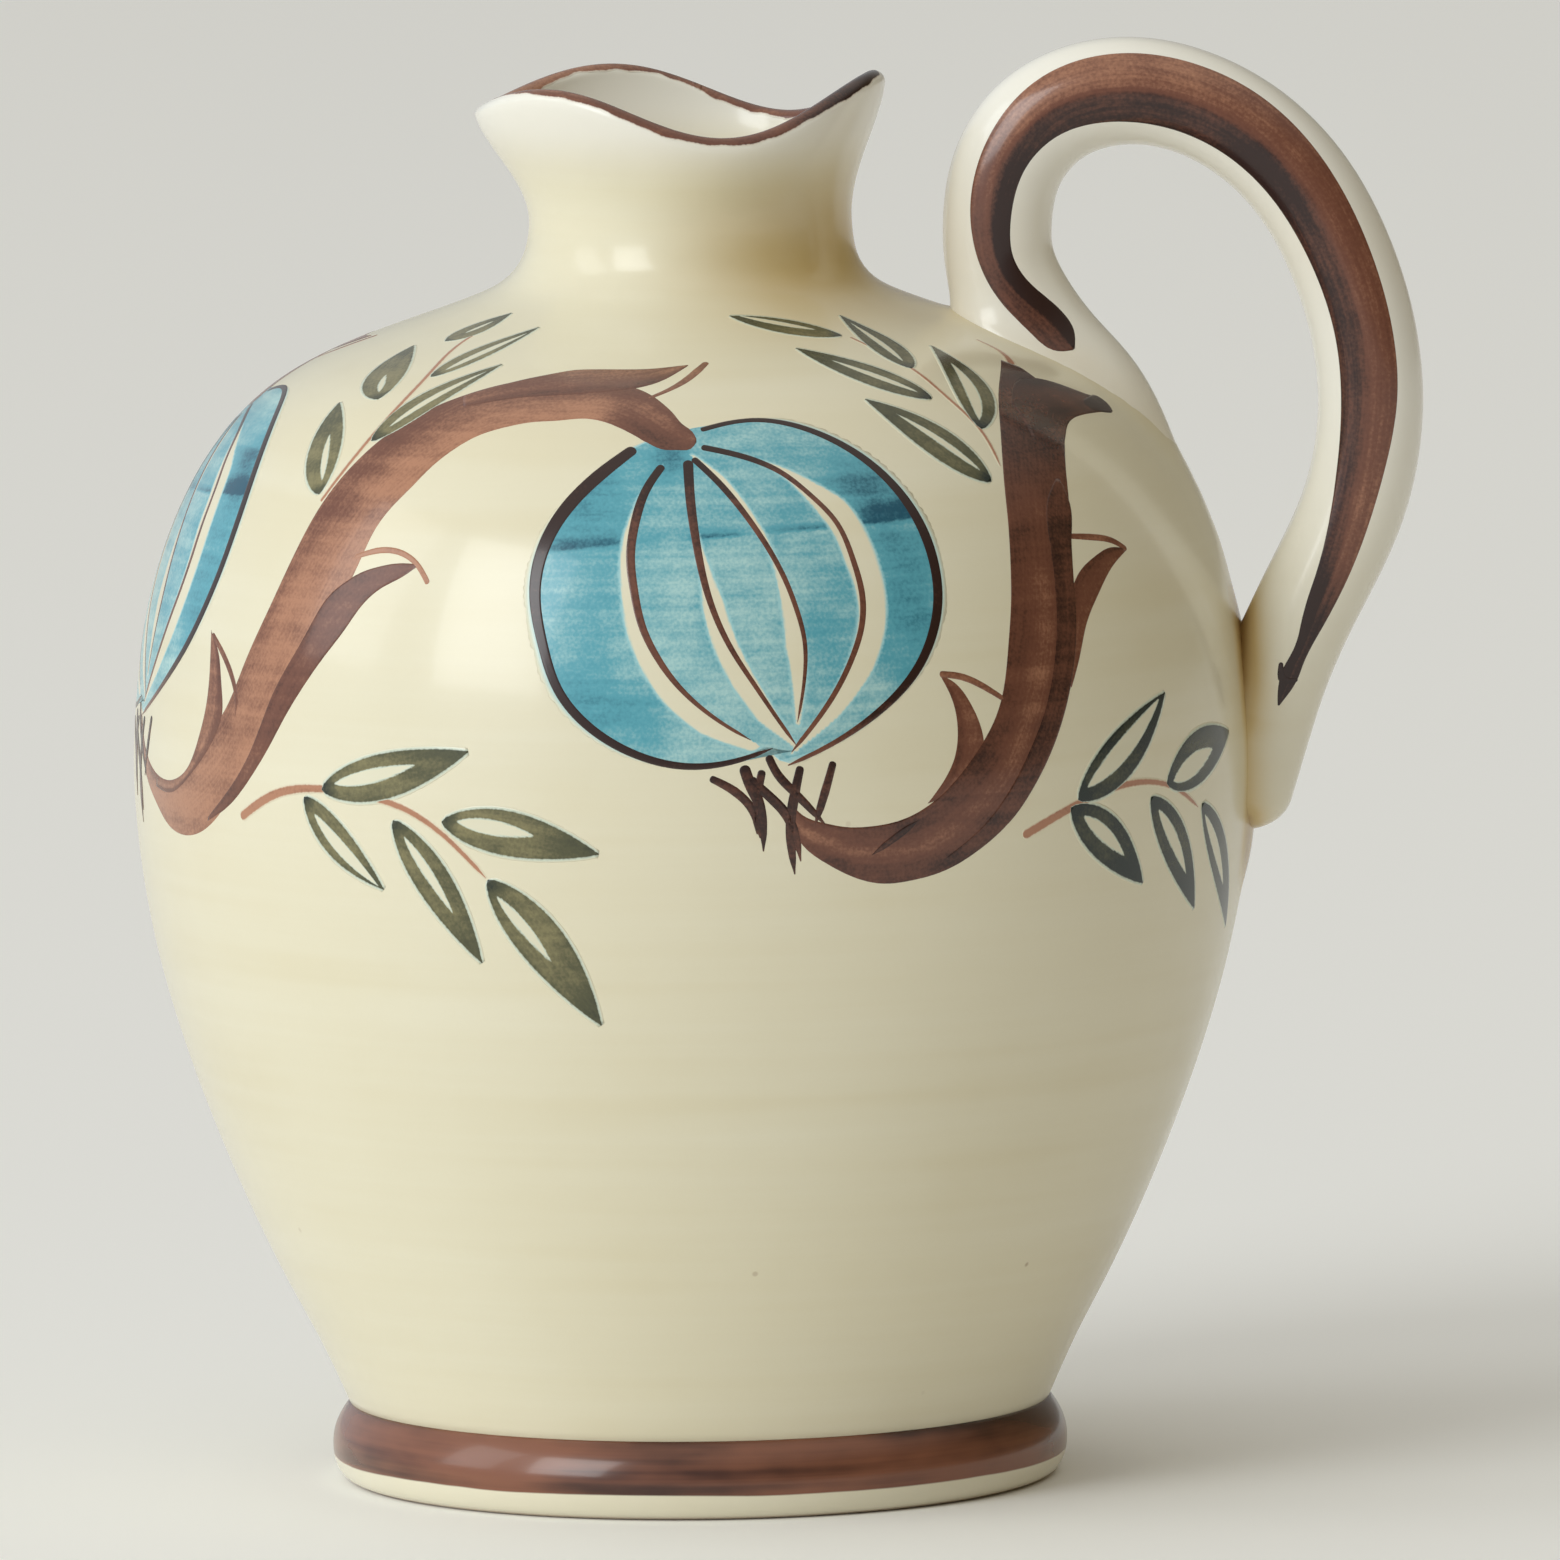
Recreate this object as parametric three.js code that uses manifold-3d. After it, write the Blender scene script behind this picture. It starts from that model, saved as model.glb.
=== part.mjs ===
// Ceramic pitcher: a thrown belly, a collar neck with a pinched wavy lip, a turned foot ring and a looped
// handle. Millimetres, +Z up. The origin is the middle of the whole pitcher's footprint, on the surface it
// stands on. The handle lies along +X and the pouring lip points to -X.

import * as THREE from 'three';
import { mergeVertices } from 'three/addons/utils/BufferGeometryUtils.js';
import Module from 'manifold-3d';

const wasm = await Module();
wasm.setup();

// Driving dimensions. Those of the root, tail and tip that are below 1 are shares of the handle's length.
const BELLY_RADIUS = 114;
const BELLY_HEIGHT = 146;
const WALL = 5;
const SHOULDER_THICKNESS = 4;
const FLOOR_UNDERSIDE = 7;
const FLOOR_THICKNESS = 7;
const FLOOR_FILLET = 4;
const FOOT_RADIUS = 75;
const FOOT_HEIGHT = 16;
const FOOT_INNER_RADIUS = 60;
const FOOT_JOINT_RADIUS = 71.5;
const FOOT_INNER_EDGE = 1.5;
const NECK_JOINT_HEIGHT = 240.5;
const NECK_JOINT_RADIUS = 46;
const NECK_FILLET_DROP = 3;
const NECK_WAIST_RADIUS = 32.8;
const NECK_WAIST_HEIGHT = 255.5;
const NECK_BORE_RADIUS = 28;
const NECK_WALL = 4.6;
const LIP_HEIGHT = 282;
const LIP_TILT = -0.8;
const LIP_PINCH = 1.9;
const LIP_WAVE = 4.3;
const LIP_FLARE_SPOUT = 11;
const LIP_FLARE_BACK = 8;
const LIP_FLARE_DELAY = 1.15;
const LIP_TURN = -6;
const COIL_RADIUS = 10.7;
const HANDLE_REACH = 149.5;
const ROOT_END = 0.185;
const ROOT_SPREAD = 3;
const TAIL_START = 0.815;
const TAIL_NARROWING = 1.5;
const TAIL_BULGE = 1.5;
const TAIL_THINNING = 5;
const TAIL_TIP = 0.2;
const TAIL_TIP_SQUARENESS = 0.64;
const GAP = 0.3;
const SEGMENTS = 40;
const COIL_SIDES = 16;

const CLAY = { color: 0xe6dfc0, roughness: 0.38, metalness: 0 };
const STAIN = { color: 0x62423b, roughness: 0.4, metalness: 0 };

// The belly's outer wall from the foot ring up to the neck joint, as radius and height.
const bellyOutline = new THREE.SplineCurve([
  [FOOT_JOINT_RADIUS, FOOT_HEIGHT + GAP],
  [83, 39.6],
  [97.9, 72.5],
  [108.8, 106],
  [BELLY_RADIUS, BELLY_HEIGHT],
  [110.4, 180],
  [98, 211],
  [79.5, 227],
  [62, 235],
  [NECK_JOINT_RADIUS, NECK_JOINT_HEIGHT],
].map(([radius, height]) => new THREE.Vector2(radius, height))).getPoints(14);

// The same outline moved outwards along its own normals, or inwards where the distance is negative.
function offsetOutline(outline, distance) {
  return outline.map((point, i) => {
    const before = outline[Math.max(i - 1, 0)];
    const after = outline[Math.min(i + 1, outline.length - 1)];
    const along = after.clone().sub(before).normalize();
    return new THREE.Vector2(point.x + along.y * distance, point.y - along.x * distance);
  });
}

// A solid turned about +Z from a radius and height profile.
function turned(profile) {
  const points = profile.map((p) => (p.isVector2 ? p : new THREE.Vector2(p[0], p[1])));
  return new THREE.LatheGeometry(points, SEGMENTS).rotateX(Math.PI / 2);
}

function toManifold(geometry) {
  const bare = geometry.clone();
  bare.deleteAttribute('normal');
  bare.deleteAttribute('uv');
  const merged = mergeVertices(bare, 1e-4);
  const vertProperties = Float32Array.from(merged.attributes.position.array);
  const triVerts = Uint32Array.from(merged.index.array);
  return new wasm.Manifold(new wasm.Mesh({ numProp: 3, vertProperties, triVerts }));
}

function fromManifold(solid) {
  const mesh = solid.getMesh();
  const geometry = new THREE.BufferGeometry();
  geometry.setAttribute('position', new THREE.BufferAttribute(Float32Array.from(mesh.vertProperties), 3));
  geometry.setIndex(new THREE.BufferAttribute(Uint32Array.from(mesh.triVerts), 1));
  geometry.computeVertexNormals();
  return geometry;
}

// Rows of points joined into a closed skin. Each row is a ring; the rows are joined end to end where they
// close on themselves, and otherwise both ends are capped with a fan.
function skin(rows, rowsClose) {
  const sides = rows[0].length;
  const points = rows.flat();
  const faces = [];
  const spans = rowsClose ? rows.length : rows.length - 1;
  for (let row = 0; row < spans; row += 1) {
    const next = (row + 1) % rows.length;
    for (let side = 0; side < sides; side += 1) {
      const beside = (side + 1) % sides;
      const [a, b] = [row * sides + side, row * sides + beside];
      const [c, d] = [next * sides + beside, next * sides + side];
      faces.push(a, b, c, a, c, d);
    }
  }
  if (!rowsClose) {
    const first = points.length;
    const last = first + 1;
    const lastRow = (rows.length - 1) * sides;
    const middle = (row) => row.reduce((sum, p) => sum.add(p), new THREE.Vector3()).divideScalar(sides);
    points.push(middle(rows[0]), middle(rows[rows.length - 1]));
    for (let side = 0; side < sides; side += 1) {
      const beside = (side + 1) % sides;
      faces.push(first, beside, side, last, lastRow + side, lastRow + beside);
    }
  }
  const geometry = new THREE.BufferGeometry().setFromPoints(points);
  geometry.setIndex(faces);
  geometry.computeVertexNormals();
  return geometry;
}

function vesselBody() {
  const floorTop = FLOOR_UNDERSIDE + FLOOR_THICKNESS;
  const inner = offsetOutline(bellyOutline, -WALL).filter((p) => p.y > floorTop + FLOOR_FILLET);
  return turned([
    [0, FLOOR_UNDERSIDE],
    [FOOT_INNER_RADIUS - GAP, FLOOR_UNDERSIDE],
    [FOOT_INNER_RADIUS - GAP, FOOT_HEIGHT + GAP],
    ...bellyOutline,
    [NECK_BORE_RADIUS, NECK_JOINT_HEIGHT],
    [NECK_BORE_RADIUS, NECK_JOINT_HEIGHT - SHOULDER_THICKNESS],
    ...inner.reverse(),
    [FOOT_INNER_RADIUS, floorTop],
    [0, floorTop],
  ]);
}

function footRing() {
  return turned([
    [FOOT_INNER_RADIUS + FOOT_INNER_EDGE, 0],
    [FOOT_RADIUS - 4.5, 0],
    [FOOT_RADIUS - 1.5, 2],
    [FOOT_RADIUS, 6],
    [FOOT_RADIUS - 0.5, 10.5],
    [FOOT_RADIUS - 2.5, 14.5],
    [FOOT_JOINT_RADIUS, FOOT_HEIGHT],
    [FOOT_INNER_RADIUS, FOOT_HEIGHT],
    [FOOT_INNER_RADIUS, 2],
    [FOOT_INNER_RADIUS + FOOT_INNER_EDGE, 0],
  ]);
}

// Height of the lip's top edge: high over the handle side and beside the spout, low at the front and back.
function lipHeight(angle) {
  const wave = LIP_WAVE * Math.cos(3 * angle);
  return LIP_HEIGHT + LIP_TILT * Math.cos(angle) + LIP_PINCH * Math.cos(2 * angle) + wave;
}

// Outer radius of the neck: a fillet out of the shoulder, a waist, and a flare that is widest at the spout.
function neckRadius(angle, height) {
  const above = height - NECK_JOINT_HEIGHT;
  const fillet = (NECK_JOINT_RADIUS - NECK_WAIST_RADIUS) * Math.exp(-above / NECK_FILLET_DROP);
  const rise = Math.max(0, (height - NECK_WAIST_HEIGHT) / (lipHeight(angle) - NECK_WAIST_HEIGHT));
  const towardsSpout = ((1 - Math.cos(angle)) / 2) ** 2;
  const flare = LIP_FLARE_BACK + (LIP_FLARE_SPOUT - LIP_FLARE_BACK) * towardsSpout;
  return NECK_WAIST_RADIUS + fillet + flare * THREE.MathUtils.smoothstep(rise ** LIP_FLARE_DELAY, 0, 1);
}

function neckSpout() {
  const base = NECK_JOINT_HEIGHT + GAP;
  const outerSteps = [0, 0.05, 0.1, 0.17, 0.27, 0.4, 0.55, 0.7, 0.84, 0.97];
  const innerSteps = [0.94, 0.8, 0.65, 0.5, 0.35];
  const rows = Array.from({ length: SEGMENTS }, (_, i) => {
    const turn = (i * 2 * Math.PI) / SEGMENTS;
    const angle = turn - THREE.MathUtils.degToRad(LIP_TURN);
    const top = lipHeight(angle);
    const heightAt = (step) => base + (top - base) * step;
    const outer = outerSteps.map((step) => [neckRadius(angle, heightAt(step)), heightAt(step)]);
    const rim = [neckRadius(angle, top) - NECK_WALL / 2, top];
    const inner = innerSteps.map((step) => [neckRadius(angle, heightAt(step)) - NECK_WALL, heightAt(step)]);
    const section = [...outer, rim, ...inner, [NECK_BORE_RADIUS, base]];
    return section.map(([r, z]) => new THREE.Vector3(r * Math.cos(turn), r * Math.sin(turn), z));
  });
  return skin(rows.reverse(), true);
}

// The handle's centreline: out of the shoulder, up beside the neck, over in a loop and down to the belly.
const handlePath = new THREE.CatmullRomCurve3([
  [90, 194],
  [80.5, 221.5],
  [66.5, 241],
  [63, 257.5],
  [71, 276.5],
  [88, 283.3],
  [108, 278.8],
  [129.5, 256],
  [HANDLE_REACH - COIL_RADIUS, 220],
  [134.5, 195],
  [123.5, 173.5],
  [116.5, 152],
  [112.5, 134.5],
].map(([x, z]) => new THREE.Vector3(x, 0, z)), false, 'centripetal');

// A coil of clay along part of the handle's path. sizeAt gives its half width across the loop and its half
// depth in the loop's plane.
function coil(start, end, steps, sizeAt) {
  const across = new THREE.Vector3(0, 1, 0);
  const rows = Array.from({ length: steps + 1 }, (_, i) => {
    const share = i / steps;
    const place = start + (end - start) * share;
    const centre = handlePath.getPointAt(place);
    const outwards = new THREE.Vector3().crossVectors(handlePath.getTangentAt(place), across);
    const [halfWidth, halfDepth] = sizeAt(share);
    return Array.from({ length: COIL_SIDES }, (_unused, side) => {
      const turn = (side * 2 * Math.PI) / COIL_SIDES;
      return centre.clone()
        .addScaledVector(across, halfWidth * Math.cos(turn))
        .addScaledVector(outwards, halfDepth * Math.sin(turn));
    });
  });
  return skin(rows, false);
}

const gapShare = GAP / handlePath.getLength();
const handleCoil = coil(ROOT_END + gapShare, TAIL_START - gapShare, 34, () => [COIL_RADIUS, COIL_RADIUS]);

// The root and the tail are coils cut where they meet the belly, which they are luted onto.
const bellyClearance = toManifold(turned([
  [0, FOOT_HEIGHT],
  ...offsetOutline(bellyOutline, GAP),
  [0, NECK_JOINT_HEIGHT + GAP],
]));

function handleRoot() {
  const sizeAt = (share) => [COIL_RADIUS + ROOT_SPREAD * (1 - share) ** 2, COIL_RADIUS];
  return fromManifold(toManifold(coil(0, ROOT_END, 9, sizeAt)).subtract(bellyClearance));
}

function handleTail() {
  const sizeAt = (share) => {
    const intoTip = Math.max(0, (share - 1 + TAIL_TIP) / TAIL_TIP);
    const rounding = Math.sqrt(1 - TAIL_TIP_SQUARENESS * intoTip ** 2);
    const halfWidth = COIL_RADIUS - TAIL_NARROWING * share;
    const halfDepth = COIL_RADIUS + TAIL_BULGE * Math.sin(Math.PI * share) - TAIL_THINNING * share;
    return [halfWidth * rounding, halfDepth * rounding];
  };
  return fromManifold(toManifold(coil(TAIL_START, 1, 9, sizeAt)).subtract(bellyClearance));
}

const pitcher = new THREE.Group();

function addPart(name, geometry, finish) {
  const part = new THREE.Mesh(geometry, new THREE.MeshStandardMaterial(finish));
  part.name = name;
  pitcher.add(part);
}

addPart('vessel_body', vesselBody(), CLAY);
addPart('neck_spout', neckSpout(), CLAY);
addPart('foot_ring', footRing(), STAIN);
addPart('handle_loop', handleCoil, CLAY);
addPart('handle_root', handleRoot(), CLAY);
addPart('handle_tail', handleTail(), CLAY);

// The vessel's axis stands off the origin, so that the origin is midway between the belly and the handle's
// reach.
pitcher.position.x = (BELLY_RADIUS - HANDLE_REACH) / 2;

export default pitcher;
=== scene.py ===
import math

import bpy
import numpy as np
from mathutils import Matrix, Vector


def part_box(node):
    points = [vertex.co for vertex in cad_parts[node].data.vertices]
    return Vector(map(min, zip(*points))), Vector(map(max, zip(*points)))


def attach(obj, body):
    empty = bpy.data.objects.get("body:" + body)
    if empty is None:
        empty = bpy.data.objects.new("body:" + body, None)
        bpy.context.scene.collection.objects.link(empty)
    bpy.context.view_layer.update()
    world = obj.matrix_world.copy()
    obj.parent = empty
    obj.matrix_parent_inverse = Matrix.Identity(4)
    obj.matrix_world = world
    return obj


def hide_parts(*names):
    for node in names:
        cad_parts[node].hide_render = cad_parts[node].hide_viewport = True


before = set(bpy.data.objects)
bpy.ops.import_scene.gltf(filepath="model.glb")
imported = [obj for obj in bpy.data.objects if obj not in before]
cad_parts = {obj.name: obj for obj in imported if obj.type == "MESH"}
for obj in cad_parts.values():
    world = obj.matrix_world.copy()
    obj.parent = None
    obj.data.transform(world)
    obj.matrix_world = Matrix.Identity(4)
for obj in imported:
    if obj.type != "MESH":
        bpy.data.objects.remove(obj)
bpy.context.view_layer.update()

# Shapes are written in millimetres about the vessel's own upright axis, and sized and placed by the CAD
# nodes.
FOOT_RADIUS = 75
FOOT_LOW, FOOT_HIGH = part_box("foot_ring")
MM = (FOOT_HIGH.x - FOOT_LOW.x) / (2 * FOOT_RADIUS)
AXIS_X = (FOOT_LOW.x + FOOT_HIGH.x) / 2

# Points round each turned ring.
AROUND = 288


class Curve:
    """A smooth curve through points, measured along its chords."""

    def __init__(self, *points):
        self.points = np.array(points, float)
        steps = np.linalg.norm(np.diff(self.points, axis=0), axis=1)
        self.marks = np.concatenate([[0], np.cumsum(steps)])
        self.length = self.marks[-1]
        count = len(self.points)
        system = np.eye(count)
        load = np.zeros_like(self.points)
        for i in range(1, count - 1):
            before, after = steps[i - 1], steps[i]
            system[i, i - 1:i + 2] = [before, 2 * (before + after), after]
            rise_after = (self.points[i + 1] - self.points[i]) / after
            rise_before = (self.points[i] - self.points[i - 1]) / before
            load[i] = 6 * (rise_after - rise_before)
        self.bend = np.linalg.solve(system, load)

    def at(self, place):
        """Points at these distances from the start."""
        place = np.clip(np.asarray(place, float), 0, self.length)
        i = np.searchsorted(self.marks, place, side="right") - 1
        i = np.clip(i, 0, len(self.marks) - 2)
        span = self.marks[i + 1] - self.marks[i]
        before = ((self.marks[i + 1] - place) / span)[..., None]
        after = 1 - before
        square = (span * span)[..., None] / 6
        straight = before * self.points[i] + after * self.points[i + 1]
        bent = (before**3 - before) * self.bend[i] + (after**3 - after) * self.bend[i + 1]
        return straight + bent * square

    def spread(self, count):
        """Evenly spaced points from end to end."""
        return self.at(np.linspace(0, self.length, count))

    def normals(self, place, step=0.4):
        """Unit vectors at right angles to a plane curve, to the right of its way."""
        along = self.at(np.asarray(place) + step) - self.at(np.asarray(place) - step)
        along /= np.linalg.norm(along, axis=-1, keepdims=True)
        return np.stack([along[..., 1], -along[..., 0]], -1)


def smooth(value, low=0.0, high=1.0):
    """0 below low, 1 above high, and a smooth rise between."""
    share = np.clip((np.asarray(value, float) - low) / (high - low), 0, 1)
    return share * share * (3 - 2 * share)


# -------------------- the wall and the handle as formulas

# Outer wall as radius and height, from the crease above the foot to the neck, and on straight up.
WALL = Curve(
    (71.6, 16.2), (77.2, 28.5), (83, 39.6), (90.9, 56), (97.8, 72.5), (103.7, 88.9), (108.5, 105.3),
    (111.8, 121.7), (113.6, 138), (113.9, 148), (113.2, 160), (110.6, 179.2), (105.5, 195.6), (97, 211.4),
    (85.3, 223.5), (71.5, 231.2), (60.5, 235.5), (50, 239.2), (43.5, 241.7), (37.8, 244.8), (34.4, 249),
    (32.9, 255.5), (32.6, 262), (32.6, 275), (32.6, 292),
)
# Inner wall, from the bore of the neck down to the floor.
INSIDE = Curve(
    (28, 258), (28, 252), (28.8, 243.5), (32.8, 238.4), (40, 236.2), (48.5, 234.2), (58.8, 230.8),
    (69.3, 226.6), (81.6, 219.6), (92.8, 208.8), (100.8, 193.8), (105.7, 178.2), (108.3, 159),
    (108.9, 147), (107, 123), (103.4, 105.5), (93, 73.5), (78.8, 42), (72, 24.5), (66.5, 17), (58, 14.2),
)
WALL_UP = np.arange(0, WALL.length, 0.5)
WALL_POINTS = WALL.at(WALL_UP)
WALL_NORMALS = WALL.normals(WALL_UP)

# The neck goes on from the wall in one skin, set off a little towards the handle. Its lip is a wave, the
# sum of cosines of 0, 1, 2 and more turns, and it flares out most at the spout.
NECK_TOP_OF_WALL = 250
NECK_WAIST_HEIGHT = 255.5
NECK_SET = 0.7
NECK_WALL = 4.6
RIM_RADIUS = NECK_WALL / 2
LIP_TURN = math.radians(-6)
LIP_WAVE = (282.32, -0.21, 2.19, 4.05, -0.51, -0.46)
LIP_FLARE = 7.4
SPOUT_FLARE = 3.9

UNDERSIDE_HEIGHT = 7
FLOOR_HEIGHT = 14
RECESS_RADIUS = 59.7

# The handle's centreline in the plane of the handle, as distance from the vessel's axis and height.
HANDLE = Curve(
    (96, 190), (88.9, 206.8), (81.8, 221.5), (75.3, 228.9), (67.4, 239.8), (63.6, 249), (63.2, 256.5),
    (66, 268.8), (73.5, 277.8), (89.4, 282.8), (105.5, 279.4), (122.7, 266.4), (132.8, 249),
    (138.75, 219.5), (134.8, 197.5), (125, 177), (118, 160), (114, 146), (110.6, 132.5),
)
# At marks along it: half the coil's depth in that plane, and half its width across it.
HANDLE_MARKS = (0, 60, 95, 130, 204, 245, 274, 283, HANDLE.length)
HANDLE_DEPTHS = (10.7, 10.9, 11.3, 10.7, 10.7, 10.5, 10.3, 10.0, 9.3)
HANDLE_WIDTHS = (11.0, 11.0, 11.2, 10.9, 10.9, 10.7, 10.6, 10.6, 10.0)
# The length over which its lower end is rounded.
HANDLE_END = 8
HANDLE_STEPS = HANDLE.spread(150)
HANDLE_STEP_MARKS = np.linspace(0, HANDLE.length, len(HANDLE_STEPS))
# At marks along the handle: how far the wall swells round it, how far the coil flares out where it meets
# the wall and over what distance that dies away, and how strongly glaze pools in the crease between them.
FILLET = ((0, 15, 30, 60, 230, 262, 300), (1.0, 1.8, 3.6, 3.6, 1.4, 1.4, 1.2))
FLARE = ((0, 60, 200, 262, 300), (5.0, 5.0, 0.8, 1.2, 1.6))
FLARE_REACH = ((0, 60, 200, 262, 300), (3.4, 3.4, 1.8, 1.8, 1.8))
POOLING = ((0, 20, 45, 62, 225, 242, 264, 278, 300), (0, 0.2, 0.7, 0.3, 0.2, 1.3, 1.1, 0.6, 0.8))
FILLET_SOFTNESS = 2.4
POOLING_REACH = 3.2
COIL_SUNK = 3.0
# Points are measured against the curves in batches of this many.
BATCH = 8000


def lip_height(angle):
    """Height of the rim's top; the angle is measured from the handle's side of the lip, in radians."""
    return sum(size * np.cos(turns * angle) for turns, size in enumerate(LIP_WAVE))


def lip_flare(angle):
    """How far the rim flares out from the waist of the neck, most at the spout."""
    towards_spout = ((1 - np.cos(angle)) / 2) ** 2
    return LIP_FLARE + SPOUT_FLARE * towards_spout


def place(radius, height, heading):
    """A point at this radius, height and heading about the axis; heading 0 faces -Y and a quarter turn
    +X."""
    lean = NECK_SET * smooth(height, 238, 256)
    return np.stack([radius * np.sin(heading) + lean, -radius * np.cos(heading), height + 0 * radius], -1)


def neck_radius(height, lip, flare):
    """Outer radius of the neck at a height, for a lip of this height and flare."""
    base = np.interp(height, WALL_POINTS[:, 1], WALL_POINTS[:, 0])
    rise = np.clip((height - NECK_WAIST_HEIGHT) / (lip - NECK_WAIST_HEIGHT), 0, 1)
    return base + flare * smooth(rise**1.15)


def rim_surface(degrees, across, proud=0.0):
    """A point of the rounded rim: heading in degrees, and mm across the rim, 0 on top and more
    outwards."""
    heading = np.radians(np.asarray(degrees, float))
    angle = heading - math.pi / 2 - LIP_TURN
    lip = lip_height(angle)
    middle = neck_radius(lip - RIM_RADIUS, lip, lip_flare(angle)) - RIM_RADIUS
    turn = math.pi / 2 - np.asarray(across, float) / RIM_RADIUS
    reach = RIM_RADIUS + proud
    return place(middle + reach * np.cos(turn), lip - RIM_RADIUS + reach * np.sin(turn), heading)


def handle_gap(points):
    """For each point, how far it lies outside the handle's coil, and how far along the handle that is."""
    flat = points.reshape(-1, 3)
    gap = np.empty(len(flat))
    along = np.empty(len(flat))
    for start in range(0, len(flat), BATCH):
        batch = slice(start, start + BATCH)
        part = flat[batch]
        off = part[:, None, [0, 2]] - HANDLE_STEPS[None]
        distance = np.sqrt((off**2).sum(-1) + part[:, 1, None] ** 2)
        nearest = distance.argmin(1)
        along[batch] = HANDLE_STEP_MARKS[nearest]
        gap[batch] = distance[np.arange(len(part)), nearest]
    gap -= np.interp(along, HANDLE_MARKS, HANDLE_DEPTHS)
    return gap.reshape(points.shape[:-1]), along.reshape(points.shape[:-1])


def wall_gap(points):
    """For each point, how far it lies outside the wall, and the wall's outward direction there."""
    flat = points.reshape(-1, 3)
    radius = np.hypot(flat[:, 0], flat[:, 1])
    nearest = np.empty(len(flat), int)
    for start in range(0, len(flat), BATCH):
        batch = slice(start, start + BATCH)
        across = radius[batch, None] - WALL_POINTS[None, :, 0]
        upward = flat[batch, 2, None] - WALL_POINTS[None, :, 1]
        nearest[batch] = (across**2 + upward**2).argmin(1)
    point = WALL_POINTS[nearest]
    normal = WALL_NORMALS[nearest]
    gap = (radius - point[:, 0]) * normal[:, 0] + (flat[:, 2] - point[:, 1]) * normal[:, 1]
    turned = normal[:, :1] * flat[:, :2] / np.maximum(radius, 1e-6)[:, None]
    outward = np.concatenate([turned, normal[:, 1:]], 1)
    return gap.reshape(points.shape[:-1]), outward.reshape(points.shape)


def wall_surface(degrees, up, proud=0.0):
    """A point of the outer wall: heading in degrees, mm up the wall's outline, and how far it stands
    proud. The wall swells in a soft fillet where the handle is luted on."""
    heading = np.radians(np.asarray(degrees, float))
    up = np.asarray(up, float)
    radius = np.interp(up, WALL_UP, WALL_POINTS[:, 0])
    height = np.interp(up, WALL_UP, WALL_POINTS[:, 1])
    across = np.interp(up, WALL_UP, WALL_NORMALS[:, 0])
    upward = np.interp(up, WALL_UP, WALL_NORMALS[:, 1])
    bare = place(radius, height, heading)
    gap, along = handle_gap(bare)
    swell = np.interp(along, *FILLET) / (1 + np.exp(np.clip(gap / FILLET_SOFTNESS, -30, 30)))
    rise = swell + proud
    return place(radius + across * rise, height + upward * rise, heading)


def handle_surface(turn, along, proud=0.0):
    """A point of the handle: the turn in degrees round it, 0 away from the middle of the loop and 90
    facing -Y, and mm along its centreline. The coil flares out where it is luted to the wall, and sinks
    just under it."""
    along = np.asarray(along, float)
    turn = np.radians(np.asarray(turn, float))
    proud = np.asarray(proud, float)[..., None]
    centre = HANDLE.at(along)
    outward = -HANDLE.normals(along)
    left = np.clip((HANDLE.length - along) / HANDLE_END, 0, 1)
    rounding = np.sqrt(1 - (1 - left) ** 2)
    depth = np.interp(along, HANDLE_MARKS, HANDLE_DEPTHS) * rounding
    width = np.interp(along, HANDLE_MARKS, HANDLE_WIDTHS) * rounding
    off = np.stack([
        outward[..., 0] * depth * np.cos(turn),
        -width * np.sin(turn),
        outward[..., 1] * depth * np.cos(turn),
    ], -1)
    middle = np.stack([centre[..., 0], 0 * along, centre[..., 1]], -1)
    away = off / np.maximum(np.linalg.norm(off, axis=-1, keepdims=True), 1e-6)
    coil = middle + off
    gap, normal = wall_gap(coil)
    level = away - (away * normal).sum(-1, keepdims=True) * normal
    flare = np.interp(along, *FLARE) * np.exp(-np.maximum(gap, 0) / np.interp(along, *FLARE_REACH))
    coil = coil + level * flare[..., None]
    coil = coil + away * proud
    gap, normal = wall_gap(coil)
    sunk = np.maximum(gap, -COIL_SUNK) - gap
    return coil + normal * sunk[..., None]


def pooled(points):
    """How strongly glaze has pooled, yellow to brown, in the creases beside the handle."""
    gap, along = handle_gap(points)
    wall, _ = wall_gap(points)
    return np.exp(-(np.maximum(gap, 0) + np.abs(wall)) / POOLING_REACH) * np.interp(along, *POOLING)


# -------------------- meshes

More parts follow.
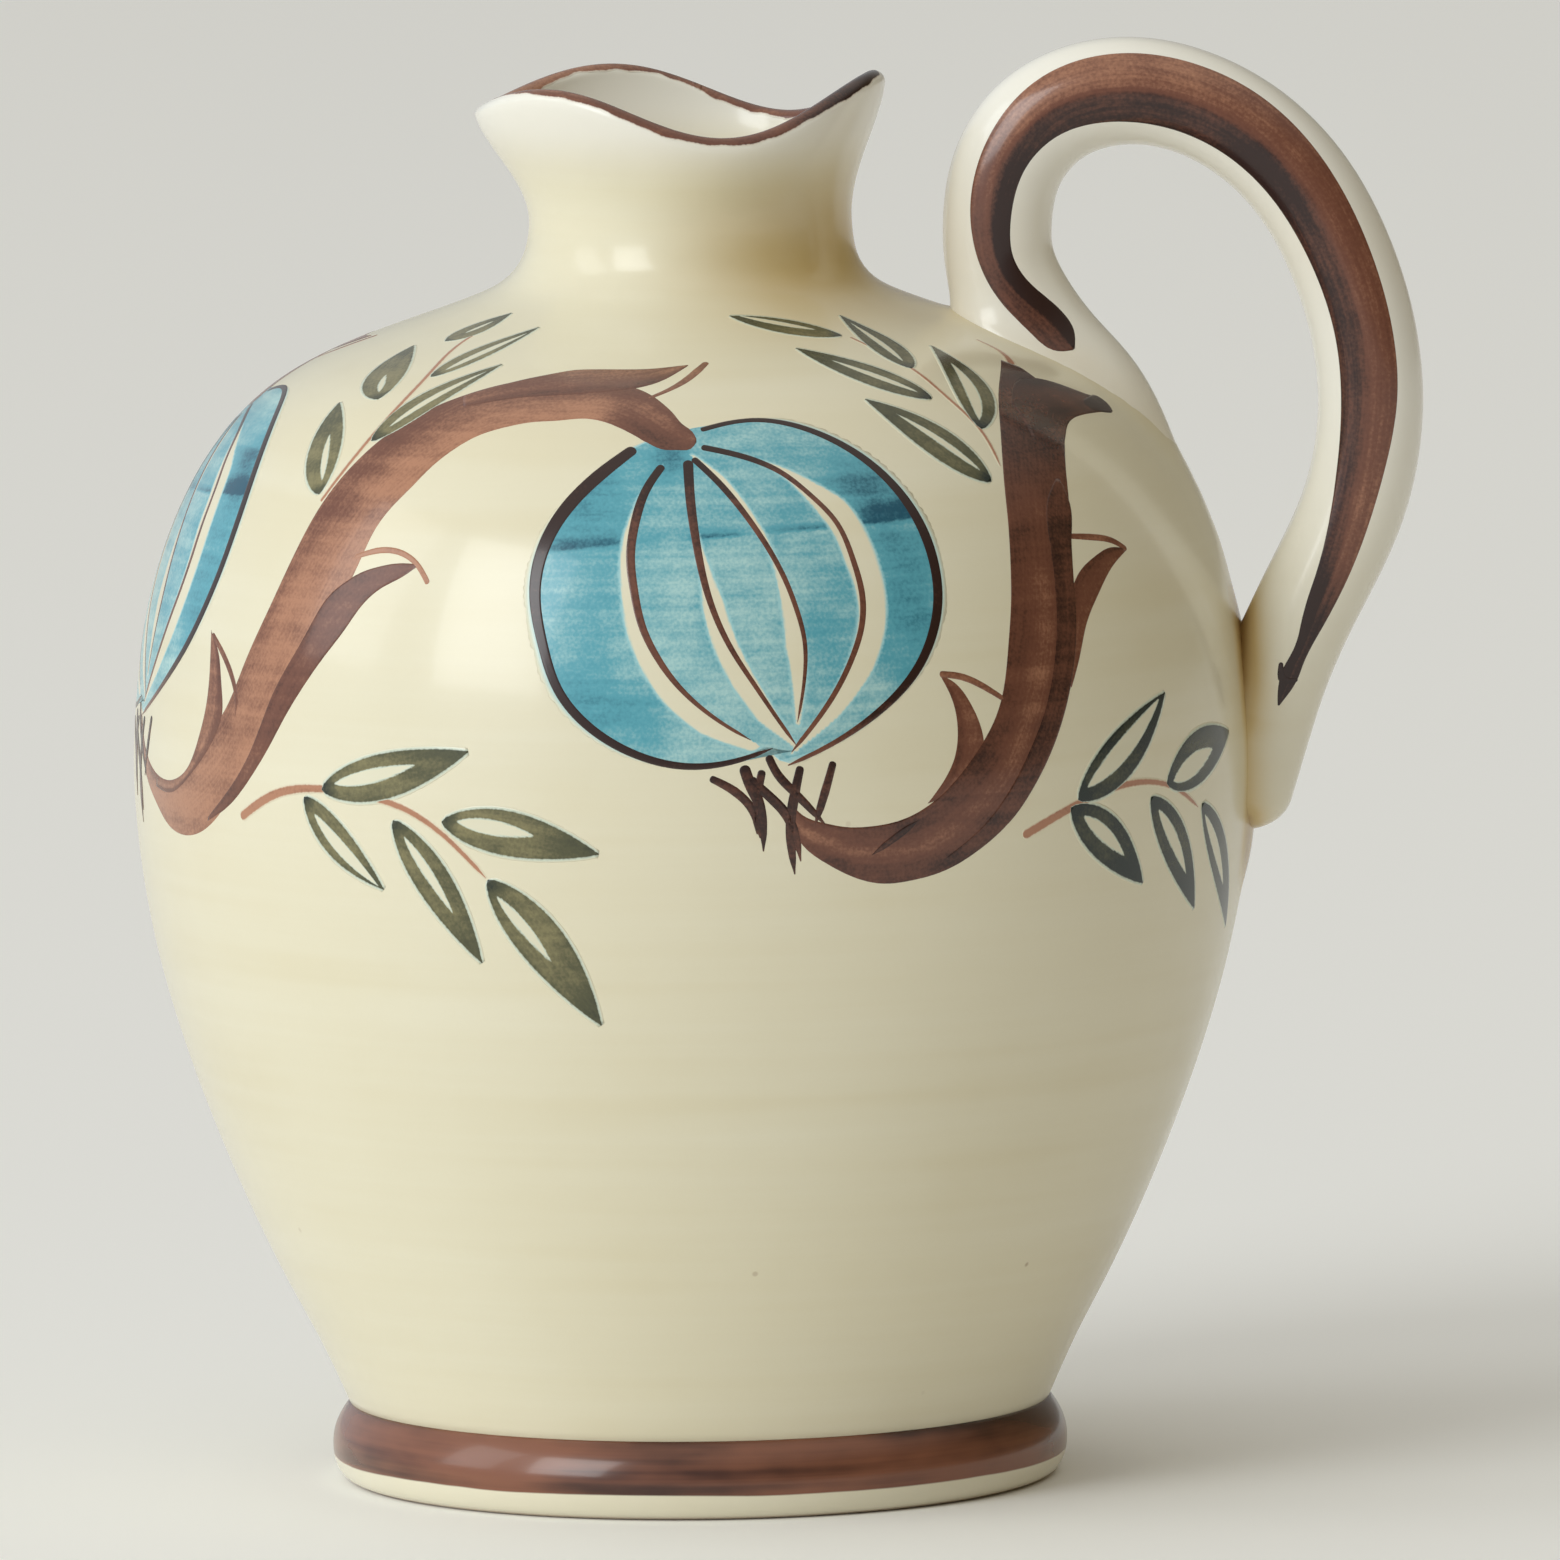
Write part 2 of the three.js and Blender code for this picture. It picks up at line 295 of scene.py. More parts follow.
def solid(name, skins, material, closed=False, paint=None, brush=None, hidden_sides=0):
    """One mesh of one or more closed skins. Each skin is an array of rings of points, (rows, points
    round, 3) in mm; closed joins the last row to the first, and otherwise both ends are capped. paint and
    brush are values at each point for the material. The last hidden_sides sides of each ring are the thin
    edges and underside of paint."""
    faces = []
    corners = []
    smooth_faces = []
    start = 0
    for number, rings in enumerate(skins):
        rows, sides, _ = rings.shape
        low, high = number / len(skins), (number + 1) / len(skins)
        shares = np.linspace(0.03, 0.97, sides + 1)
        if hidden_sides:
            shares = np.concatenate([np.linspace(0.04, 0.86, sides - 2), [0.90, 0.94, 0.98]])
        levels = low + (high - low) * shares
        spans = rows if closed else rows - 1
        row, side = np.meshgrid(np.arange(spans), np.arange(sides), indexing="ij")
        after, beside = (row + 1) % rows, (side + 1) % sides
        quads = [row * sides + side, row * sides + beside, after * sides + beside, after * sides + side]
        faces += (np.stack(quads, -1).reshape(-1, 4) + start).tolist()
        edges = 0.01 + 0.98 * np.arange(spans + 1) / spans
        u = np.stack([edges[row], edges[row], edges[row + 1], edges[row + 1]], -1)
        v = np.stack([levels[side], levels[side + 1], levels[side + 1], levels[side]], -1)
        corners.append(np.stack([u, v], -1).reshape(-1, 2))
        smooth_faces += (side < sides - hidden_sides).ravel().tolist()
        if not closed:
            ring = np.arange(sides)
            for first, edge, turn in ((0, 0.002, -1), ((rows - 1) * sides, 0.998, 1)):
                faces.append((start + first + ring[::turn]).tolist())
                corners.append(np.stack([np.full(sides, edge), levels[:-1][::turn]], -1))
                smooth_faces.append(False)
        start += rows * sides
    points = np.concatenate([rings.reshape(-1, 3) for rings in skins])
    world = points * MM
    world[:, 0] += AXIS_X
    mesh = bpy.data.meshes.new(name)
    mesh.from_pydata(world.tolist(), [], faces)
    mesh.polygons.foreach_set("use_smooth", smooth_faces)
    layer = mesh.uv_layers.new(name="OFBake")
    layer.data.foreach_set("uv", np.concatenate(corners).astype(np.float32).ravel())
    if paint is None:
        paint = [np.zeros((len(points), 2))]
        brush = [np.zeros((len(points), 3))]
    paint = np.concatenate([values.reshape(-1, 2) for values in paint])
    brush = np.concatenate([values.reshape(-1, 3) for values in brush])
    for label, values in (("paint", np.column_stack([paint, pooled(points)])), ("brush", brush)):
        attribute = mesh.attributes.new(label, "FLOAT_VECTOR", "POINT")
        attribute.data.foreach_set("vector", values.astype(np.float32).ravel())
    mesh.update()
    piece = bpy.data.objects.new(name, mesh)
    bpy.context.scene.collection.objects.link(piece)
    piece.data.materials.append(material)
    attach(piece, "root")
    return piece


def vessel_rings():
    """The whole turned vessel as rings, from the middle of the underside, up the outer wall, over the
    rim, down the inside and back to the middle of the floor."""
    heading = np.linspace(0, 2 * math.pi, AROUND, endpoint=False)
    lip_angle = heading - math.pi / 2 - LIP_TURN
    lip = lip_height(lip_angle)
    flare = lip_flare(lip_angle)
    degrees = np.degrees(heading)
    sections = []

    def ring(radius, height):
        sections.append(place(radius + 0 * heading, height + 0 * heading, heading))

    def neck(height):
        return neck_radius(height, lip, flare)

    for radius in (3, 12, 24, 36, 47, 56, 58.6):
        ring(radius, UNDERSIDE_HEIGHT)
    for radius, height in ((RECESS_RADIUS, 7.6), (RECESS_RADIUS, 15.9), (65, 15.8), (71.2, 15.8)):
        ring(radius, height)
    top_of_wall = np.interp(NECK_TOP_OF_WALL, WALL_POINTS[:, 1], WALL_UP)
    for up in np.linspace(0, top_of_wall, 168):
        sections.append(wall_surface(degrees, up + 0 * degrees))
    rim_base = lip - RIM_RADIUS
    for share in np.linspace(0, 1, 26)[1:]:
        height = NECK_TOP_OF_WALL + (rim_base - NECK_TOP_OF_WALL) * share
        ring(neck(height), height)
    rim_middle = neck(rim_base) - RIM_RADIUS
    for turn in np.linspace(0, math.pi, 13)[1:]:
        ring(rim_middle + RIM_RADIUS * math.cos(turn), rim_base + RIM_RADIUS * math.sin(turn))
    bore, bore_height = INSIDE.points[0]
    narrowing = bore - (neck(bore_height + 0 * lip) - NECK_WALL)
    for share in np.linspace(1, 0, 20)[1:]:
        height = bore_height + (rim_base - bore_height) * share
        ring(neck(height) - NECK_WALL + narrowing * (1 - share), height)
    for radius, height in INSIDE.spread(84)[1:]:
        ring(radius, height)
    for radius in (48, 38, 28, 18, 9, 3):
        ring(radius, FLOOR_HEIGHT)
    return np.stack(sections)


def foot_rings():
    """The turned foot ring: a rounded bulge outside, a flat to stand on, and a slight bevel inside."""
    heading = np.linspace(0, 2 * math.pi, AROUND, endpoint=False)
    bulge = Curve((70.4, 0), (72.6, 0.9), (74.2, 3), (74.95, 6.2), (74.6, 10.2), (73.2, 13.4), (71.4, 16))
    inside = [(67, 16.1), (60.1, 16.1), (60.1, 9), (60.2, 2.4), (60.8, 0.9), (61.8, 0.1), (65, 0)]
    outline = [*bulge.spread(26), *inside]
    section = [place(radius + 0 * heading, height + 0 * heading, heading) for radius, height in outline]
    return np.stack(section, 1)


def handle_rings():
    """The coil handle, finer towards its joints and its rounded end."""
    even = np.linspace(0, HANDLE.length - HANDLE_END, 190)
    end = HANDLE.length - HANDLE_END * (1 - np.sin(np.linspace(0, math.pi / 2, 12)[1:-1]))
    along = np.concatenate([even, end, [HANDLE.length - 0.01]])
    turn = np.linspace(360, 0, 60, endpoint=False)
    return handle_surface(turn + 0 * along[:, None], along[:, None] + 0 * turn)


# -------------------- materials

class Nodes:
    """Short calls for building a material's node tree."""

    def __init__(self, tree):
        self.tree = tree

    def add(self, kind, inputs=None, **settings):
        node = self.tree.nodes.new(kind)
        for key, value in settings.items():
            setattr(node, key, value)
        for key, value in (inputs or {}).items():
            if isinstance(value, bpy.types.NodeSocket):
                self.tree.links.new(value, node.inputs[key])
            else:
                node.inputs[key].default_value = value
        return node

    def math(self, operation, first, second):
        return self.add("ShaderNodeMath", {0: first, 1: second}, operation=operation).outputs[0]

    def plus(self, first, second):
        return self.math("ADD", first, second)

    def times(self, first, second):
        return self.math("MULTIPLY", first, second)

    def stretch(self, value, low, high, to_low=0.0, to_high=1.0):
        """value mapped smoothly from one range to another, held at the ends."""
        inputs = {"Value": value, "From Min": low, "From Max": high, "To Min": to_low, "To Max": to_high}
        return self.add("ShaderNodeMapRange", inputs, interpolation_type="SMOOTHSTEP").outputs["Result"]

    def mix(self, share, first, second):
        """Two colours mixed, the second over the first."""
        inputs = {0: share, 6: first, 7: second}
        return self.add("ShaderNodeMix", inputs, data_type="RGBA").outputs[2]

    def noise(self, vector, scale, detail):
        inputs = {"Vector": vector, "Scale": scale, "Detail": detail}
        return self.add("ShaderNodeTexNoise", inputs).outputs["Fac"]

    def scaled(self, vector, x, y, z):
        return self.add("ShaderNodeVectorMath", {0: vector, 1: (x, y, z)}, operation="MULTIPLY").outputs[0]

    def spot(self):
        """The place on the pot, in metres."""
        return self.add("ShaderNodeTexCoord").outputs["Object"]


CREAM = (0.79, 0.735, 0.55, 1)
CREAM_PALE = (0.83, 0.79, 0.625, 1)
CREAM_DEEP = (0.74, 0.665, 0.455, 1)
# A whiter cream laid on as painted light: a painted highlight near the rim, and painted light on the handle
# and foot.
CREAM_PAINTED_LIGHT = (0.88, 0.855, 0.78, 1)
OCHRE = (0.64, 0.47, 0.19, 1)
# Ochre round the neck's waist: partly pooled glaze, partly painted shade on the side away from the window.
OCHRE_POOL_AND_SHADE = (0.56, 0.38, 0.11, 1)
POOL_BROWN = (0.34, 0.19, 0.05, 1)
SPECK = (0.30, 0.17, 0.08, 1)
CLAY_BARE = (0.66, 0.55, 0.42, 1)
FOOT_BROWN_DEEP = (0.060, 0.025, 0.019, 1)
FOOT_BROWN_WARM = (0.24, 0.095, 0.055, 1)
# Each stain's colours: the halo that it bleeds into the glaze, then thin, medium and dense paint.
BROWN_STAIN = (
    (0.62, 0.44, 0.30, 1), (0.45, 0.215, 0.125, 1), (0.17, 0.065, 0.040, 1), (0.030, 0.013, 0.011, 1),
)
BLUE_STAIN = (
    (0.24, 0.60, 0.68, 1), (0.45, 0.68, 0.66, 1), (0.10, 0.37, 0.45, 1), (0.001, 0.080, 0.135, 1),
)
GREEN_STAIN = (
    (0.46, 0.64, 0.58, 1), (0.25, 0.22, 0.105, 1), (0.085, 0.085, 0.042, 1), (0.012, 0.022, 0.018, 1),
)
# One gloss for every glazed part: a soft glaze under a thin clear coat.
GLOSS = {"IOR": 1.5, "Specular IOR Level": 0.36, "Coat Weight": 0.26, "Coat Roughness": 0.08}


def glaze_group():
    """The cream glaze that covers the whole pot, worked out from the place on the pot, so that it runs on
    unbroken from piece to piece. Pool and Rings are how much glaze has pooled and how far the turning rings
    and the ochre of the neck show; that ochre is partly pooled glaze and partly painted shade. The third
    input is how much painted light whitens the cream. Outputs its colour, roughness and height."""
    tree = bpy.data.node_groups.new("glaze_ground", "ShaderNodeTree")
    for socket in ("Pool", "Rings", "Painted_Light"):
        tree.interface.new_socket(socket, in_out="INPUT", socket_type="NodeSocketFloat")
    for socket, kind in (("Color", "Color"), ("Roughness", "Float"), ("Height", "Float")):
        tree.interface.new_socket(socket, in_out="OUTPUT", socket_type=f"NodeSocket{kind}")
    n = Nodes(tree)
    inputs = n.add("NodeGroupInput").outputs
    pool, rings, painted_light = inputs["Pool"], inputs["Rings"], inputs["Painted_Light"]
    spot = n.spot()
    axes = n.add("ShaderNodeSeparateXYZ", {0: spot}).outputs
    height = axes["Z"]

    mottle = n.noise(spot, 22, 3)
    bands = n.noise(n.scaled(spot, 6, 6, 150), 1, 1)
    fine_bands = n.noise(n.scaled(spot, 14, 14, 620), 1, 3)
    grain = n.noise(spot, 1500, 2)
    cloud = n.plus(n.times(bands, 0.55), n.times(mottle, 0.45))
    color = n.mix(n.stretch(cloud, 0.30, 0.52, 0.55, 1.0), CREAM_DEEP, CREAM)
    color = n.mix(n.stretch(cloud, 0.50, 0.70, 0.0, 0.35), color, CREAM_PALE)
    color = n.mix(n.times(rings, n.stretch(fine_bands, 0.3, 0.75, 0.0, 0.10)), color, CREAM_DEEP)
    color = n.mix(n.stretch(grain, 0.25, 0.8, 0.0, 0.07), color, CREAM_DEEP)
    # Painted highlight: above 264 mm the cream is whitened, along the rim and inside the lip.
    rim_painted_highlight = n.stretch(height, 0.264, 0.279, 0.0, 0.85)
    # Painted light on the handle and foot: whiter cream, full above 230 mm and a third of it below 150 mm,
    # where the lower handle is in shade.
    painted_light = n.times(painted_light, n.stretch(height, 0.15, 0.23, 0.35, 1.0))
    color = n.mix(n.math("MAXIMUM", painted_light, rim_painted_highlight), color, CREAM_PAINTED_LIGHT)

    # The neck's ochre between 232 and 276 mm is partly glaze pooled at the waist and partly painted shade:
    # it grows from almost none on the window's side to full on the side away from it (+X).
    rising = n.stretch(height, 0.232, 0.250)
    falling = n.stretch(height, 0.252, 0.276, 1.0, 0.0)
    neck = n.times(n.times(rising, falling), n.stretch(mottle, 0.3, 0.7, 0.6, 1.0))
    neck = n.times(n.times(neck, rings), n.stretch(axes["X"], -0.03, 0.016, 0.02, 1.0))
    color = n.mix(neck, color, OCHRE_POOL_AND_SHADE)
    color = n.mix(n.stretch(pool, 0.02, 0.4, 0.0, 0.85), color, OCHRE)
    color = n.mix(n.stretch(pool, 0.25, 0.8, 0.0, 0.9), color, POOL_BROWN)

    cells = n.add("ShaderNodeTexVoronoi", {"Vector": spot, "Scale": 95.0})
    near = n.stretch(cells.outputs["Distance"], 0.03, 0.075, 1.0, 0.0)
    chosen = n.add("ShaderNodeSeparateColor", {0: cells.outputs["Color"]}).outputs[0]
    few = n.stretch(chosen, 0.955, 0.99, 0.0, 0.5)
    color = n.mix(n.times(near, few), color, SPECK)

    rough = n.stretch(mottle, 0.3, 0.7, 0.20, 0.27)
    surface = n.plus(n.times(n.times(bands, 0.8), rings), mottle)
    n.add("NodeGroupOutput", {"Color": color, "Roughness": rough, "Height": surface})
    return tree


GROUND = glaze_group()


def ceramic(name, tint=None, rings=1.0, painted_light=0.0):
    """A glazed material over the shared ground. rings is how far the turning rings show, and the last
    argument is how much whiter the cream is than on the belly, as painted light. tint(n, color, rough,
    cover, tone, brush) may colour it further."""
    material = bpy.data.materials.new(name)
    material.use_nodes = True
    tree = material.node_tree
    n = Nodes(tree)
    shader = tree.nodes["Principled BSDF"]
    paint = n.add("ShaderNodeAttribute", attribute_name="paint").outputs["Vector"]
    brush = n.add("ShaderNodeAttribute", attribute_name="brush").outputs["Vector"]
    cover, tone, pool = n.add("ShaderNodeSeparateXYZ", {0: paint}).outputs
    ground = n.add("ShaderNodeGroup", {"Pool": pool, "Rings": rings, "Painted_Light": painted_light}, node_tree=GROUND).outputs
    color, rough = ground["Color"], ground["Roughness"]
    if tint:
        color, rough = tint(n, color, rough, cover, tone, brush)
    relief = n.add("ShaderNodeBump", {"Strength": 0.15, "Distance": 0.0004, "Height": ground["Height"]})
    tree.links.new(color, shader.inputs["Base Color"])
    tree.links.new(rough, shader.inputs["Roughness"])
    tree.links.new(relief.outputs["Normal"], shader.inputs["Normal"])
    for socket, value in GLOSS.items():
        shader.inputs[socket].default_value = value
    return material


def foot_tint(n, color, rough, cover, tone, brush):
    """The brown band round the foot's bulge, with a brushed uneven edge, and bare clay on the standing
    face."""
    spot = n.spot()
    height = n.add("ShaderNodeSeparateXYZ", {0: spot}).outputs["Z"]
    wobble = n.stretch(n.noise(n.scaled(spot, 22, 22, 40), 1, 3), 0.3, 0.7, -0.00022, 0.00022)
    band = n.stretch(n.plus(height, wobble), 0.0051, 0.0055)
    streaks = n.noise(n.scaled(spot, 5, 5, 420), 1, 3)
    patches = n.noise(n.scaled(spot, 26, 26, 90), 1, 3)
    depth = n.plus(n.times(streaks, 0.35), n.times(patches, 0.65))
    brown = n.mix(n.stretch(depth, 0.36, 0.62), FOOT_BROWN_DEEP, FOOT_BROWN_WARM)
    color = n.mix(band, color, brown)
    bare = n.stretch(height, 0.0004, 0.0010, 1.0, 0.0)
    color = n.mix(bare, color, CLAY_BARE)
    return color, n.plus(rough, n.times(bare, 0.4))


def stain(colors, halo_strength, bristle, streak, ringed, blotched):
    """A tint for painted strokes: a faint halo round the stroke, then stain that thickens with its tone.
    The fine turning rings of the clay show through it where it is ringed. bristle is how close the
    brush's hairs lie, across and along, and streak, ringed and blotched are how much each changes the
    tone."""
    halo, thin, medium, dense = colors

    def tint(n, color, rough, cover, tone, brush):
        spot = n.spot()
        hairs = n.noise(n.scaled(brush, *bristle), 1, 3)
        rings = n.noise(n.scaled(spot, 9, 9, 520), 1, 3)
        blotch = n.noise(spot, 120, 4)
        grain = n.noise(spot, 1500, 2)
        for pattern, amount in ((hairs, streak), (rings, ringed), (blotch, blotched), (grain, 0.07)):
            tone = n.plus(tone, n.stretch(pattern, 0.25, 0.75, -amount, amount))
        stained = n.mix(n.stretch(tone, 0.0, 0.5), thin, medium)
        stained = n.mix(n.stretch(tone, 0.45, 0.95), stained, dense)
        rough_edge = n.plus(cover, n.stretch(grain, 0.3, 0.7, -0.08, 0.08))
        faint = n.times(n.stretch(cover, 0.04, 0.34), halo_strength)
        color = n.mix(faint, color, halo)
        color = n.mix(n.stretch(rough_edge, 0.25, 0.8), color, stained)
        return color, rough
    return tint


BROWN = ceramic("brown_stain", stain(BROWN_STAIN, 0.3, (1.3, 0.03, 1), 0.05, 0.07, 0.08))
HANDLE_BROWN = ceramic("handle_brown_stain", stain(BROWN_STAIN, 0.3, (1.1, 0.04, 1), 0.09, 0.0, 0.06))
BLUE = ceramic("blue_stain", stain(BLUE_STAIN, 0.8, (0.03, 0.4, 1), 0.035, 0.08, 0.08))
GREEN = ceramic("green_stain", stain(GREEN_STAIN, 0.5, (1.4, 0.06, 1), 0.05, 0.07, 0.1))


vessel = solid("glazed_vessel", [vessel_rings()], ceramic("cream_glaze"))
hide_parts("vessel_body", "neck_spout")

# The foot's cream takes a little painted light.
foot = solid("turned_foot", [foot_rings()], ceramic("foot_glaze", foot_tint, painted_light=0.5), closed=True)
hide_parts("foot_ring")

# The handle's cream takes painted light, most of it high up.
handle = solid("coil_handle", [handle_rings()], ceramic("handle_glaze", rings=0.1, painted_light=0.85))
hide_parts("handle_loop", "handle_root", "handle_tail")


# -------------------- painting

# Painted pieces stand this proud of the glaze, rising by a little from layer to layer so that none share
# a face, and their undersides are sunk in it. Their tops round off within the soft edge, and the halo
# runs down under.
PAINT_RISE = 0.03
LAYER_RISE = 0.015
SOFT_EDGE = 0.35
UNDERSIDE = -0.25
HALO_END = -0.012
THINNEST = 0.04
# How far apart the brush patterns of two strokes of one piece are read.
PATTERN_STEP = 7.3
# The radius in mm at which a degree is measured on the handle, on the rim and on the fruit.
HANDLE_UNIT_RADIUS = 10.8
RIM_UNIT_RADIUS = 40
FRUIT_UNIT_RADIUS = 107


def unit_sizes(surface, points):
    """Millimetres for one step of each of a surface's two coordinates, at these points."""
    if surface is wall_surface:
        across = np.radians(np.interp(points[..., 1], WALL_UP, WALL_POINTS[:, 0]))
    elif surface is handle_surface:
        across = np.full(points.shape[:-1], math.radians(HANDLE_UNIT_RADIUS))
    else:
        across = np.full(points.shape[:-1], math.radians(RIM_UNIT_RADIUS))
    return np.stack([across, np.ones_like(across)], -1)


class Brushwork:
    """Thin painted strokes lying on one surface, gathered into one piece. Points are pairs of the
    surface's two coordinates, and shift moves every stroke across the surface."""

    def __init__(self, surface, shift=(0, 0)):
        self.surface = surface
        self.shift = np.array(shift, float)
        self.skins = []
        self.paint = []
        self.brush = []

    def fill(self, left, right, tone=0.5, layer=1, halo=0.0, columns=7, shade=None, cover=None):
        """Paints between two edges, given as equal rows of points. tone is 0 for thin paint to 1 for
        dense, and a halo of so many mm fades out round the edges. shade and cover may give the tone and
        the cover point by point, from the points and the shares across (-1 to 1) and along."""
        middle = (left + right) / 2
        half = (right - left) / 2
        sizes = unit_sizes(self.surface, middle)
        width = np.maximum(np.linalg.norm(half * sizes, axis=-1), THINNEST)
        soft = np.maximum(halo, 0.12) / width
        inner = 1 - np.minimum(SOFT_EDGE, 0.6 * width) / width
        edge = [1 + soft, 1 + soft / 2, 1 + 0 * soft]
        core = [inner * share for share in np.linspace(1, -1, columns)]
        across = -np.stack(edge + core + [-step for step in edge[::-1]], 1)
        edge_cover = [0, 0.2, 0.4] if halo else [1, 1, 1]
        covers = np.array(edge_cover + [1] * columns + edge_cover[::-1]) + 0 * across
        top = PAINT_RISE + LAYER_RISE * layer
        edge_rise = [HALO_END, 0.4 * top, 0.85 * top]
        rise = np.array(edge_rise + [top] * columns + edge_rise[::-1])
        share = np.linspace(0, 1, len(middle))[:, None] + 0 * across
        spots = middle[:, None] + half[:, None] * across[..., None]
        tones = tone + 0 * across if shade is None else shade(spots, across, share)
        if cover is not None:
            covers = covers * cover(spots, across, share)
        along = np.cumsum(np.linalg.norm(np.diff(middle, axis=0, prepend=middle[:1]) * sizes, axis=-1))
        pattern = PATTERN_STEP * len(self.skins)
        brushed = [across * width[:, None], along[:, None] + 0 * across, 0 * across + pattern]
        spots = np.concatenate([spots, spots[:, [-1, 0]]], 1) + self.shift
        lift = np.concatenate([rise, [UNDERSIDE, UNDERSIDE]]) + 0 * spots[..., 0]
        under = ((0, 0), (0, 2), (0, 0))
        self.skins.append(self.surface(spots[..., 0], spots[..., 1], lift))
        self.paint.append(np.pad(np.stack([covers, tones], -1), under))
        self.brush.append(np.pad(np.stack(brushed, -1), under))

    def line(self, path):
        """A smooth curve through points, measured in mm, and the size of the surface's steps there."""
        points = np.array(path, float)
        sizes = unit_sizes(self.surface, points).mean(0)
        return Curve(*(points * sizes)), sizes

    def area(self, left, right, rows, **how):
        """Paints between two outlines, each a smooth curve through its points."""
        edges = [line.spread(rows) / sizes for line, sizes in (self.line(left), self.line(right))]
        self.fill(*edges, **how)

    def stroke(self, path, widths, round_start=True, round_end=True, **how):
        """Paints along a path. widths are half widths in mm, evenly spaced from end to end. An end that
        is not rounded narrows to a point."""
        line, sizes = self.line(path)
        share = np.linspace(0, 1, max(8, int(line.length)))
        close = np.array([0, 0.1, 0.3, 0.6, 1.0, 1.4]) / line.length
        share = np.unique(np.concatenate([share, close, 1 - close]))
        middle = line.at(share * line.length) / sizes
        local = unit_sizes(self.surface, middle)
        way = np.gradient(middle, axis=0) * local
        way /= np.linalg.norm(way, axis=-1, keepdims=True)
        width = np.interp(share, np.linspace(0, 1, len(widths)), widths)
        for rounded, from_end, size in (
            (round_start, share * line.length, widths[0]),
            (round_end, (1 - share) * line.length, widths[-1]),
        ):
            if rounded:
                short = np.clip(1 - from_end / max(size, 0.1), 0, 1)
                width = width * np.sqrt(1.002 - short**2)
            else:
                width = width * np.clip(0.08 + from_end / 3, 0, 1)
        side = np.stack([way[:, 1], -way[:, 0]], -1) * width[:, None] / local
        self.fill(middle - side, middle + side, **how)

    def leaf(self, base, tip, breadth, gap, bow, tone):
        """A leaf of two strokes round an unpainted slit. breadth is half its width in mm, and gap is
        where the slit starts and ends along it, its half width and how far it lies to one side. bow bends
        the leaf sideways."""
        base, tip = np.array(base, float), np.array(tip, float)
        sizes = unit_sizes(self.surface, (base + tip) / 2)
        axis = (tip - base) * sizes
        length = np.linalg.norm(axis)
        aside = np.array([axis[1], -axis[0]]) / length
        share = np.linspace(0, 1, 46)
        middle = base * sizes + axis * share[:, None] + aside * (bow * np.sin(math.pi * share))[:, None]
        swell = np.sin(math.pi * np.clip(share, 0.02, 0.995) ** 0.8) ** 0.8
        half = breadth * np.maximum(swell, 0.30 * (1 - smooth(share, 0.0, 0.2)))
        half = half * np.sqrt(1.002 - np.clip(1 - share * length / (0.4 * breadth), 0, 1) ** 2)
        start, end, gap_breadth, lean = gap
        thinnest_cover = 0.12

        def cover(spots, across, shares):
            inside = np.clip((shares - start) / (end - start), 0, 1)
            slit = gap_breadth * np.sin(math.pi * inside**0.85) ** 0.8
            off = np.abs(across * half[:, None] - lean) - slit
            covered = np.maximum(smooth(off, -0.35, 0.3), thinnest_cover)
            return np.where((inside > 0) & (inside < 1), covered, 1)

        def shade(spots, across, shares):
            dark = 0.5 * (1 - smooth(shares, 0.02, 0.13)) + 0.3 * smooth(shares, 0.45, 1.0)
            return tone - 0.2 + dark + 0.1 * smooth(np.abs(across), 0.75, 1.0)

        side = aside * half[:, None]
        self.fill((middle - side) / sizes, (middle + side) / sizes,
                  layer=2, halo=0.7, columns=23, shade=shade, cover=cover)

    def finish(self, name, material):
        piece = solid(name, self.skins, material, paint=self.paint, brush=self.brush, hidden_sides=3)
        return piece


def line_shade(tone, thinner=0.12):
    """Dense dark paint where a line starts, and thinner paint towards its end."""
    def shade(spots, across, share):
        return tone + (1 - tone) * (1 - smooth(share, 0.05, 0.35)) - thinner * smooth(share, 0.7, 1.0)
    return shade


def branch_shade(base, left, right):
    """Broad brush tones, denser along either edge."""
    def shade(spots, across, share):
        return base + left * smooth(-across, 0.1, 0.7) + right * smooth(across, 0.1, 0.7)
    return shade


# The fruit, its branch and its sprigs repeat round the pot. Points are (degrees round, mm up the wall).
FRUIT_POLE = (4.5, 221.5)
FRUIT_FOOT = (12.8, 150.0)
FRUIT_LEFT = (
    (-2.9, 216.1), (-7.3, 208.7), (-11.2, 199.1), (-12.7, 191.0), (-12.9, 184.3), (-11.6, 173.2),
    (-9.8, 164.3), (-6.1, 156.4), (-1.5, 151.4), (3.5, 149.2), (8.6, 150.3), (12.1, 152.5),
)
FRUIT_RIGHT = (
    (5.5, 220.9), (9.2, 222.8), (13.3, 223.5), (20.9, 219.2), (27.3, 209.2), (30.4, 198.7), (31.4, 188.9),
    (31.1, 180.7), (30.1, 174.7), (27.7, 166.9), (23.2, 158.9), (18.3, 153.1), (13.6, 149.0),
)
